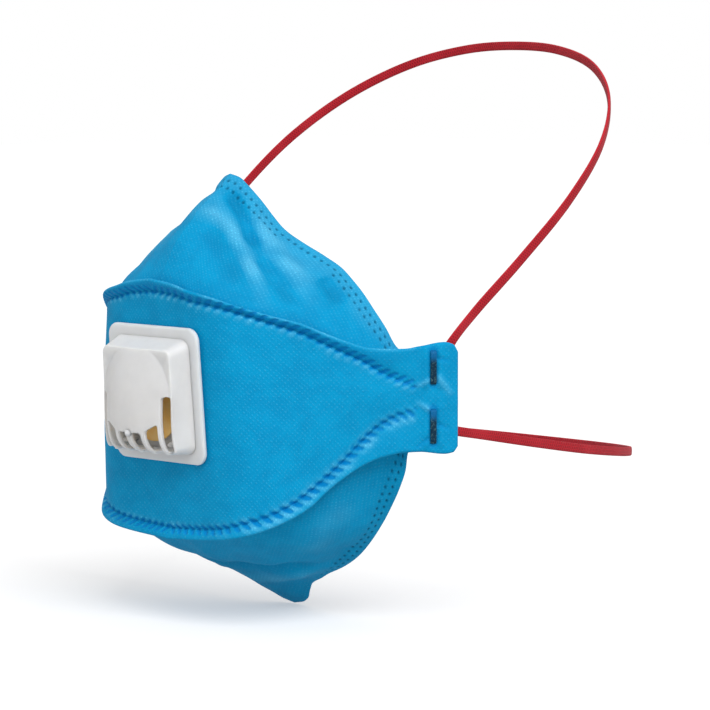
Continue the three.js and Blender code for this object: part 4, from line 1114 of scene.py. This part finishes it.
# ---- valve outlines ----
def rounded_outline(half_low, half_top, low, high, radius, per_corner, per_side):
    """Points round a rectangle with round corners whose width may differ at the top."""
    def half_at(up):
        return half_low + (half_top - half_low) * (up - low) / (high - low)

    top, bottom = high - radius, low + radius
    corners = [(1, top, 0), (-1, top, 90), (-1, bottom, 180), (1, bottom, 270)]
    arcs = []
    for hand, up, start in corners:
        angle = np.radians(np.linspace(start, start + 90, per_corner))
        arcs.append(np.stack([hand * (half_at(up) - radius) + radius * np.cos(angle),
                              up + radius * np.sin(angle)], axis=1))
    points = []
    for k, arc in enumerate(arcs):
        after = arcs[(k + 1) % 4][0]
        t = np.linspace(0, 1, per_side + 2)[1:-1, None]
        points += [arc, arc[-1] + (after - arc[-1]) * t]
    return np.concatenate(points)


def outward(points, faces):
    """The faces turned so that the closed mesh's volume is positive."""
    corner = points[np.array([f[:3] for f in faces])]
    volume = np.einsum("ij,ij->i", corner[:, 0], np.cross(corner[:, 1], corner[:, 2])).sum()
    return faces if volume > 0 else [list(f)[::-1] for f in faces]


def rounded_block(half_x, low, high, back, front, radius, bevel):
    """Rings of a flat block with a round outline and bevelled edges, in the valve plane."""
    rings = []
    for inset, out in ((bevel, back), (0.3 * bevel, back + 0.3 * bevel), (0, back + bevel),
                       (0, front - bevel), (0.3 * bevel, front - 0.3 * bevel), (bevel, front)):
        outline = rounded_outline(half_x - inset, half_x - inset, low + inset, high - inset,
                                  max(radius - inset, 0.0002), *BLOCK_OUTLINE)
        rings.append(on_valve(outline[:, 0], outline[:, 1], out))
    return np.array(rings)


def capped(rings):
    """Points and faces of a stack of rings closed by a face at both ends."""
    count, around = rings.shape[:2]
    points = rings.reshape(-1, 3)
    faces = ring_faces(count, around, False).tolist()
    faces += [list(range(around))[::-1], [(count - 1) * around + k for k in range(around)]]
    return points, outward(points - points.mean(axis=0), faces)


def joined(parts):
    """Several bodies' points and faces as one list of each."""
    points, faces, start = [], [], 0
    for some_points, some_faces in parts:
        points.append(np.asarray(some_points))
        faces += [[int(v) + start for v in face] for face in some_faces]
        start += len(some_points)
    return np.concatenate(points), faces


def build_valve_base():
    """Flange plate, seat ring and bore as one turned form, with the cross bars and the hinge pad."""
    wide, tall, radius = FLANGE["half_width"], FLANGE["half_height"], FLANGE["radius"]
    back, front = FLANGE["back"], FLANGE["front"]
    plate = [(0.0006, back), (0.00015, back + 0.00015), (0, back + 0.0005), (0, front - 0.00055),
             (0.00012, front - 0.0002), (0.00042, front - 0.00003), (0.0011, front)]
    ring, bore = ORIFICE["ring_radius"], ORIFICE["radius"]
    top, spigot = ORIFICE["ring_top"], ORIFICE["back"]
    turned = [(ring + 0.0006, front), (ring + 0.00015, front + 0.00012), (ring, front + 0.0005),
              (ring, top - 0.0003), (ring - 0.0003, top), (bore + 0.0003, top), (bore, top - 0.0003),
              (bore, spigot + 0.0003), (bore + 0.0003, spigot), (ring - 0.0003, spigot),
              (ring, spigot + 0.0003), (ring, back - 0.0003), (ring + 0.0003, back)]
    rings = []
    for inset, out in plate:
        outline = rounded_outline(wide - inset, wide - inset, -tall + inset, tall - inset, radius - inset,
                                  *FLANGE_OUTLINE)
        rings.append(on_valve(outline[:, 0], outline[:, 1], out))
    outline = rounded_outline(wide, wide, -tall, tall, radius, *FLANGE_OUTLINE)
    towards = outline - np.array([0, ORIFICE["up"]])
    towards /= np.linalg.norm(towards, axis=1, keepdims=True)
    for size, out in turned:
        circle = towards * size + np.array([0, ORIFICE["up"]])
        rings.append(on_valve(circle[:, 0], circle[:, 1], out))
    rings = np.array(rings)
    points = rings.reshape(-1, 3)
    faces = ring_faces(len(rings), rings.shape[1], True).tolist()
    main = (points, outward(points - points.mean(axis=0), faces))
    half_bar, bar_reach = SEAT_BAR["half_width"], bore + SEAT_BAR["past_bore"]
    post, beam = [
        capped(rounded_block(half_x, ORIFICE["up"] - half_up, ORIFICE["up"] + half_up, -SEAT_BAR["out"],
                             SEAT_BAR["out"], SEAT_BAR["radius"], SEAT_BAR["bevel"]))
        for half_x, half_up in ((half_bar, bar_reach), (bar_reach, half_bar))
    ]
    pad = capped(rounded_block(HINGE_PAD["half_width"], HINGE_PAD["low"], HINGE_PAD["high"],
                               HINGE_PAD["back"], top, HINGE_PAD["radius"], HINGE_PAD["bevel"]))
    pins = [dome_of(side * PIN["x"], PIN["up"], front, PIN["radius"], PIN["rise"]) for side in (-1, 1)]
    points, faces = joined([main, post, beam, pad, *pins])
    return new_piece("valve_seat", points, faces, SHARP_DEGREES["seat"])


def build_valve_flap():
    """Thin rubber flap, held at its top and resting on the seat ring, its rim a little turned up."""
    half, top, corner = FLAP["half_width"], FLAP["top"], FLAP["top_radius"]
    angle = np.linspace(math.pi, 2 * math.pi, 61)
    lower = np.stack([half * np.cos(angle), ORIFICE["up"] + half * np.sin(angle)], axis=1)
    turn = np.linspace(0, math.pi / 2, 10)
    right = np.stack([half - corner + corner * np.cos(turn), top - corner + corner * np.sin(turn)], axis=1)
    left = np.stack([-right[::-1, 0], right[::-1, 1]], axis=1)
    outline = np.concatenate([lower, right, left])
    middle = np.array([0, FLAP["middle"]])
    thick = FLAP["front"] - FLAP["back"]
    fronts, backs = [], []
    for share in FLAP_SHARES:
        flat = middle + (outline - middle) * share
        lift = FLAP["lift"] * smooth(*FLAP["lifts_from"], flat[:, 1]) * smooth(0.6, 1.0, share)
        edge = FLAP["edge"] * thick * smooth(0.96, 1.0, share)
        fronts.append(on_valve(flat[:, 0], flat[:, 1], FLAP["front"] + lift - edge))
        backs.append(on_valve(flat[:, 0], flat[:, 1], FLAP["back"] + lift + edge))
    points, faces = capped(np.array(fronts + backs[::-1]))
    return new_piece("valve_flap_rubber", points, faces, SHARP_DEGREES["flap"])


section_out, section_edge = reader(COVER_SECTION, 1), reader(COVER_SECTION, 2)


def rib_share(x):
    """1 on a bar of the grille, 0 between the bars."""
    nearest = np.min([np.abs(np.abs(x) - rib) for rib in RIBS], axis=0)
    begins, ends = RIB_SIDES
    return 1 - smooth(RIB_HALF_WIDTH * begins, RIB_HALF_WIDTH * ends, nearest)


def dome_height(x, up):
    """Height of the cover's domed front, before its bars and openings."""
    above = np.maximum(0, up - DISC["up"])
    widening = smooth(DISC["up"], DISC["up"] - DISC["widens_over"], up)
    widening = (DISC["low_half_width"] - DISC["radius"]) * widening
    chord = np.where(above > 0, np.sqrt(np.maximum(1e-9, DISC["radius"] ** 2 - above ** 2)),
                     DISC["radius"] + widening)
    dome = np.where(above < DISC["radius"], np.maximum(0, 1 - (x / chord) ** 2) ** DISC["roundness"], 0)
    return section_edge(up) + (section_out(up) - section_edge(up)) * dome


def grille_cutter():
    """Prisms with round corners, as one mesh, that cut the grille's openings."""
    bodies = []
    for inner, outer, inner_top, outer_top, low, corner in OPENINGS:
        start = ((inner + outer) / 2, low)
        outline = rounded_path([start, (outer, low), (outer, outer_top), (inner, inner_top),
                                (inner, low), start], corner, 9)[:-1]
        for hand in (1, -1):
            rings = [on_valve(hand * outline[:, 0], outline[:, 1], out) for out in GRILLE_CUT]
            bodies.append(capped(np.array(rings)))
    return new_piece("grille_cutter", *joined(bodies))


def cut(piece, cutter, sharp_degrees):
    """Takes the cutter's bodies out of a piece, and the cutter out of the scene.

    The exact solver loses the cover unless it is told that a body may meet itself."""
    taking = piece.modifiers.new("openings", "BOOLEAN")
    taking.operation, taking.solver, taking.object = "DIFFERENCE", "EXACT", cutter
    taking.use_self = True
    whole = piece.data
    piece.data = bpy.data.meshes.new_from_object(
        piece.evaluated_get(bpy.context.evaluated_depsgraph_get()))
    piece.modifiers.remove(taking)
    bpy.data.meshes.remove(whole)
    bpy.data.meshes.remove(cutter.data)
    piece.data.name = piece.name
    piece.data.polygons.foreach_set("use_smooth", [True] * len(piece.data.polygons))
    piece.data.set_sharp_from_angle(angle=math.radians(sharp_degrees))


def dome_of(centre_x, centre_up, base, radius, rise):
    """A small round button or pin standing in the plane of the valve."""
    rings = []
    for angle in np.radians(np.linspace(0, 86, 8)):
        turn = np.linspace(0, 2 * math.pi, 24, endpoint=False)
        size = radius * math.cos(angle)
        rings.append(on_valve(centre_x + size * np.cos(turn), centre_up + size * np.sin(turn),
                              base + rise * math.sin(angle)))
    return capped(np.array(rings))


def cover_rings(inset):
    """Rings from the middle of the cover's front, over its edge and down the walls, this deep inside it.

    Gives their places in the valve plane, their points, and how much of the recess each takes."""
    middle_up = (COVER_FACE["low"] + COVER_FACE["top"]) / 2
    face = rounded_outline(COVER_FACE["half_width_low"] - inset, COVER_FACE["half_width_top"] - inset,
                           COVER_FACE["low"] + inset, COVER_FACE["top"] - inset,
                           COVER_FACE["radius"] - inset, *COVER_OUTLINE)
    foot = rounded_outline(COVER["foot_half_width"] - inset, COVER["foot_half_width"] - inset,
                           COVER["foot_low"] + inset, COVER["foot_top"] - inset,
                           COVER["foot_radius"] - inset, *COVER_OUTLINE)
    front = np.stack([np.outer(COVER_FRONT_SHARES, face[:, 0]),
                      middle_up + np.outer(COVER_FRONT_SHARES, face[:, 1] - middle_up)], axis=-1)
    places = list(front)
    heights = list(dome_height(front[..., 0], front[..., 1]) - inset)
    taken = [1.0] * len(COVER_FRONT_SHARES)

    # the round edge of the front, then the wall down to the foot
    rim_out = heights[-1]
    for angle in COVER_EDGE_ANGLES:
        places.append(front[-1] + (face - front[-1]) * math.sin(angle))
        heights.append(rim_out - COVER_FILLET * (1 - math.cos(angle)))
        taken.append(1.0)
    wall_top = rim_out - COVER_FILLET
    for share in COVER_WALL_SHARES:
        places.append(face + (foot - face) * share)
        heights.append(wall_top + (COVER["foot"] - wall_top) * share)
        taken.append(1 - float(smooth(*RECESS["fades"], share)))
    places = np.array(places)
    return places, on_valve(places[..., 0], places[..., 1], np.array(heights)), np.array(taken)


def build_valve_cover():
    """Domed cover, set back between its bars at the low edge, with the openings cut out of it."""
    places, outer, taken = cover_rings(0.0)
    x, up = places[..., 0], places[..., 1]
    recess = RIB_RISE * (1 - rib_share(x)) * smooth(*RECESS["begins"], up) * taken[:, None]
    outer = outer - ring_normals(outer, on_valve(0, 0, -0.02)) * recess[..., None]
    inner = cover_rings(COVER["wall"])[1]
    piece = new_piece("valve_housing", *capped(np.concatenate([outer, inner[::-1]])))
    cut(piece, grille_cutter(), SHARP_DEGREES["cover"])
    base = float(dome_height(0, KNOB["up"])) - KNOB["sunk"]
    button = new_piece("valve_button", *dome_of(0, KNOB["up"], base, KNOB["radius"],
                                                KNOB["rise"] + KNOB["sunk"]))
    with bpy.context.temp_override(active_object=piece, selected_editable_objects=[piece, button]):
        bpy.ops.object.join()
    return piece


# ---- staples ----
def rounded_path(corners, radius, per_bend):
    """A line through corners with round bends."""
    corners = [np.array(c, float) for c in corners]
    points = [corners[0]]
    for before, corner, after in zip(corners, corners[1:], corners[2:]):
        arrive = (corner - before) / np.linalg.norm(corner - before)
        leave = (after - corner) / np.linalg.norm(after - corner)
        for t in np.linspace(0, math.pi / 2, per_bend):
            points.append(corner - arrive * radius * (1 - math.sin(t)) + leave * radius * (1 - math.cos(t)))
    points.append(corners[-1])
    return np.array(points)


def build_staple(side, hand, staple):
    """Flat wire: crown on the outer face, legs through the tab, ends clinched behind it."""
    wire = STAPLE["wire"]
    half = staple["length"] / 2 - wire / 2
    crown, behind = STAPLE["gap"] + wire / 2, -STAPLE["reach"] + wire / 2
    clinch = staple["length"] / 2 - STAPLE["clinch"]
    end = behind - STAPLE["clinch_drop"]
    corners = [(-clinch, end), (-half, behind), (-half, crown), (half, crown), (half, behind),
               (clinch, end)]
    path = evenly(rounded_path(corners, STAPLE["bend"], 6), STAPLE_POINTS)
    middle = on_face(side * STAPLE["along"], staple["centre"], 0.0)
    outward_point = on_face(side * STAPLE["along"], staple["centre"], 0.001)
    out = (outward_point - middle) / np.linalg.norm(outward_point - middle)
    centres = middle + path[:, :1] * np.array([0, 0, 1.0]) + path[:, 1:] * out
    tangent = np.gradient(centres, axis=0)
    tangent /= np.linalg.norm(tangent, axis=1, keepdims=True)
    across = np.broadcast_to(np.cross(out, [0, 0, 1.0]), centres.shape)
    through = np.cross(across, tangent)
    section = superellipse(*STAPLE_SECTION)
    piece, _ = sweep(f"{hand}_{staple['name']}_wire", centres, across * STAPLE["width"], through * wire,
                     section, SHARP_DEGREES["staple"])
    height = (centres[:, 2] - staple["centre"]) / staple["length"] + 0.5
    store(piece, "veil", np.repeat(smooth(*STAPLE_VEIL, height), len(section)))
    return piece


# ---- straps ----
def curve_through(points, per_stretch):
    """Smooth centripetal curve through points."""
    points = np.asarray(points, float)
    padded = np.concatenate([[2 * points[0] - points[1]], points, [2 * points[-1] - points[-2]]])
    line = []
    for p0, p1, p2, p3 in zip(padded, padded[1:], padded[2:], padded[3:]):
        d0, d1, d2 = (np.linalg.norm(b - a) ** 0.5 for a, b in ((p0, p1), (p1, p2), (p2, p3)))
        start = ((p1 - p0) / d0 - (p2 - p0) / (d0 + d1) + (p2 - p1) / d1) * d1
        stop = ((p2 - p1) / d1 - (p3 - p1) / (d1 + d2) + (p3 - p2) / d2) * d1
        t = np.linspace(0, 1, per_stretch, endpoint=False)[:, None]
        line.append(p1 + start * t + (3 * (p2 - p1) - 2 * start - stop) * t ** 2
                    + (2 * (p1 - p2) + start + stop) * t ** 3)
    return np.concatenate([*line, points[-1:]])


def build_strap(name, facts, straps):
    """A whole flat loop, from behind one tab round to behind the other."""
    held = [on_face(along, z, -STRAP_BEHIND_FACE) for along, z in facts["under_tab"]]
    leave, rise = held[-1], facts["rise"]
    free = [np.array([half_width, leave[1] + reach * math.cos(rise),
                      leave[2] + reach * math.sin(rise) + lift])
            for reach, half_width, lift in facts["run"]]
    near = [*held, *free]
    far = [p * np.array([-1, 1, 1]) for p in near[-2::-1]]
    line = curve_through([*near, *far], POINTS_PER_STRETCH)
    centres = evenly(line, STRAP_POINTS)
    tangent = np.gradient(centres, axis=0)
    tangent /= np.linalg.norm(tangent, axis=1, keepdims=True)
    through = np.stack([tangent[:, 1], -tangent[:, 0], np.zeros(len(tangent))], axis=1)
    through /= np.linalg.norm(through, axis=1, keepdims=True)
    across = np.cross(tangent, through)
    section = superellipse(*STRAP_SECTION)
    piece, rings = sweep(name, centres, across * straps.width, through * straps.thickness, section)
    even = np.linspace(0, arc_length(line)[-1], STRAP_POINTS)
    place = np.stack([np.repeat(even[:, None], len(section), axis=1) / MM,
                      np.broadcast_to(section[:, 0] * straps.width / MM, rings.shape[:2]),
                      np.broadcast_to(section[:, 1] * straps.thickness / MM, rings.shape[:2])], axis=-1)
    store(piece, "braid", place.reshape(-1, 3))
    return piece, centres, leave


# ---- operators ----
class MASK_OT_camera(bpy.types.Operator):
    """Places the camera in front of the wearer's left cheek"""

    bl_idname = "mask.camera"
    bl_label = "Place the camera"

    def execute(self, context):
        stage = context.scene.mask_stage
        lens = bpy.data.cameras.new("mask_camera")
        lens.lens = stage.lens
        lens.sensor_width = 36.0
        lens.clip_start, lens.clip_end = 0.05, 50.0
        camera = bpy.data.objects.new("mask_camera", lens)
        camera.location = stage.camera_place
        camera.rotation_euler = stage.camera_turn
        context.scene.collection.objects.link(camera)
        context.scene.camera = camera
        return {"FINISHED"}


class MASK_OT_straps(bpy.types.Operator):
    """Braids the upper and the lower elastic strap, each as one whole loop"""

    bl_idname = "mask.straps"
    bl_label = "Braid the straps"

    def execute(self, context):
        straps = context.scene.mask_straps
        material = elastic_material(straps)
        for node, facts in STRAPS.items():
            piece, centres, leave = build_strap(node.replace("strap", "elastic"), facts, straps)
            finished(piece, material, "red_elastic", node)
        return {"FINISHED"}


class MASK_OT_centre_panel(bpy.types.Operator):
    """Lays the centre panel with its welded fins, staple hollows and valve hole"""

    bl_idname = "mask.centre_panel"
    bl_label = "Lay the centre panel"

    def execute(self, context):
        piece, flat, area = build_centre_panel(context.scene.mask_cloth)
        finished(piece, cloth_of(context), "blue_nonwoven", "centre_panel")
        return {"FINISHED"}


class MASK_OT_side_panels(bpy.types.Operator):
    """Lays the top panel up to the nose peak and the bottom panel down to the chin tab"""

    bl_idname = "mask.side_panels"
    bl_label = "Lay the top and bottom panels"

    def execute(self, context):
        cloth = context.scene.mask_cloth
        for node, side, edge, drop, folds, dots in (
            ("top", 1, TOP_EDGE, None, TOP_FOLDS, TOP_DOTS),
            ("bottom", -1, BOTTOM_EDGE, CHIN_TAB, BOTTOM_FOLDS, BOTTOM_DOTS),
        ):
            piece, flat, area = build_side_panel(f"{node}_cloth", side, edge, drop, folds, dots, cloth)
            finished(piece, cloth_of(context), "blue_nonwoven", f"{node}_panel")
        return {"FINISHED"}


class MASK_OT_valve(bpy.types.Operator):
    """Moulds the valve seat, its rubber flap and the domed cover with its grille"""

    bl_idname = "mask.valve"
    bl_label = "Mould the valve"

    def execute(self, context):
        valve = context.scene.mask_valve
        plastic = plastic_material(valve)
        finished(build_valve_base(), plastic, "white_plastic", "valve_base")
        finished(build_valve_flap(), rubber_material(valve), "orange_rubber", "valve_flap")
        finished(build_valve_cover(), plastic, "white_plastic", "valve_cover")
        return {"FINISHED"}


class MASK_OT_staples(bpy.types.Operator):
    """Drives the four staples that hold the straps to the tabs"""

    bl_idname = "mask.staples"
    bl_label = "Drive the staples"

    def execute(self, context):
        material = steel_material(context.scene.mask_straps)
        for hand, side in (("left", 1), ("right", -1)):
            for staple in STAPLES:
                finished(build_staple(side, hand, staple), material, "staple_steel",
                         f"{hand}_{staple['name']}_staple")
        return {"FINISHED"}


class MASK_OT_stage(bpy.types.Operator):
    """Sets the pale floor and the soft studio light"""

    bl_idname = "mask.stage"
    bl_label = "Set the stage"

    def execute(self, context):
        stage = context.scene.mask_stage
        floor_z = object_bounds()[0].z - stage.floor_drop
        corners = [(FLOOR_HALF * x, FLOOR_HALF * y, floor_z)
                   for x, y in ((-1, -1), (1, -1), (1, 1), (-1, 1))]
        floor = new_piece("floor", corners, [(0, 1, 2, 3)])
        floor.data.materials.append(floor_material())
        floor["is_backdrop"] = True
        for name, towards, strength, angle in LIGHTS:
            light = bpy.data.lights.new(name, "SUN")
            light.energy = getattr(stage, strength)
            light.angle = math.radians(angle)
            lamp = bpy.data.objects.new(name, light)
            lamp.rotation_euler = Vector(towards).to_track_quat("Z", "Y").to_euler()
            context.scene.collection.objects.link(lamp)
        world = bpy.data.worlds.new("studio")
        world.use_nodes = True
        nodes, links = world.node_tree.nodes, world.node_tree.links
        nodes.clear()
        room, seen = nodes.new("ShaderNodeBackground"), nodes.new("ShaderNodeBackground")
        room.inputs["Strength"].default_value = stage.room_strength
        room.inputs["Color"].default_value = seen.inputs["Color"].default_value = (1, 1, 1, 1)
        rays, share = nodes.new("ShaderNodeLightPath"), nodes.new("ShaderNodeMixShader")
        output = nodes.new("ShaderNodeOutputWorld")
        links.new(rays.outputs["Is Camera Ray"], share.inputs[0])
        links.new(room.outputs[0], share.inputs[1])
        links.new(seen.outputs[0], share.inputs[2])
        links.new(share.outputs[0], output.inputs[0])
        context.scene.world = world
        context.scene.view_settings.view_transform = "Standard"
        return {"FINISHED"}


def cloth_of(context):
    """The one nonwoven material, made when the first panel asks for it."""
    return bpy.data.materials.get("nonwoven_cloth") or nonwoven_material(context.scene.mask_cloth)


class MASK_PT_sidebar(bpy.types.Panel):
    """Lists the steps and settings of the mask"""

    bl_idname = "MASK_PT_sidebar"
    bl_label = "Respirator"
    bl_space_type = "VIEW_3D"
    bl_region_type = "UI"
    bl_category = "Respirator"

    def draw(self, context):
        for step in STEPS:
            self.layout.operator(step.bl_idname)
        for settings in SETTINGS:
            group = getattr(context.scene, settings)
            for key in group.bl_rna.properties.keys():
                if key not in ("rna_type", "name"):
                    self.layout.prop(group, key)


STEPS = (MASK_OT_camera, MASK_OT_straps, MASK_OT_centre_panel, MASK_OT_side_panels, MASK_OT_valve,
         MASK_OT_staples, MASK_OT_stage)
SETTINGS = {"mask_cloth": MaskClothSettings, "mask_valve": MaskValveSettings,
            "mask_straps": MaskStrapSettings, "mask_stage": MaskStageSettings}


def register():
    for kind in (*SETTINGS.values(), *STEPS, MASK_PT_sidebar):
        bpy.utils.register_class(kind)
    for name, kind in SETTINGS.items():
        setattr(bpy.types.Scene, name, PointerProperty(type=kind))


def unregister():
    for name in SETTINGS:
        delattr(bpy.types.Scene, name)
    for kind in reversed((*SETTINGS.values(), *STEPS, MASK_PT_sidebar)):
        bpy.utils.unregister_class(kind)


def main():
    register()
    bpy.ops.mask.camera()
    bpy.ops.mask.straps()
    bpy.ops.mask.centre_panel()
    bpy.ops.mask.side_panels()
    bpy.ops.mask.valve()
    bpy.ops.mask.staples()
    bpy.ops.mask.stage()
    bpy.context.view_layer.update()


if __name__ == "__main__":
    main()
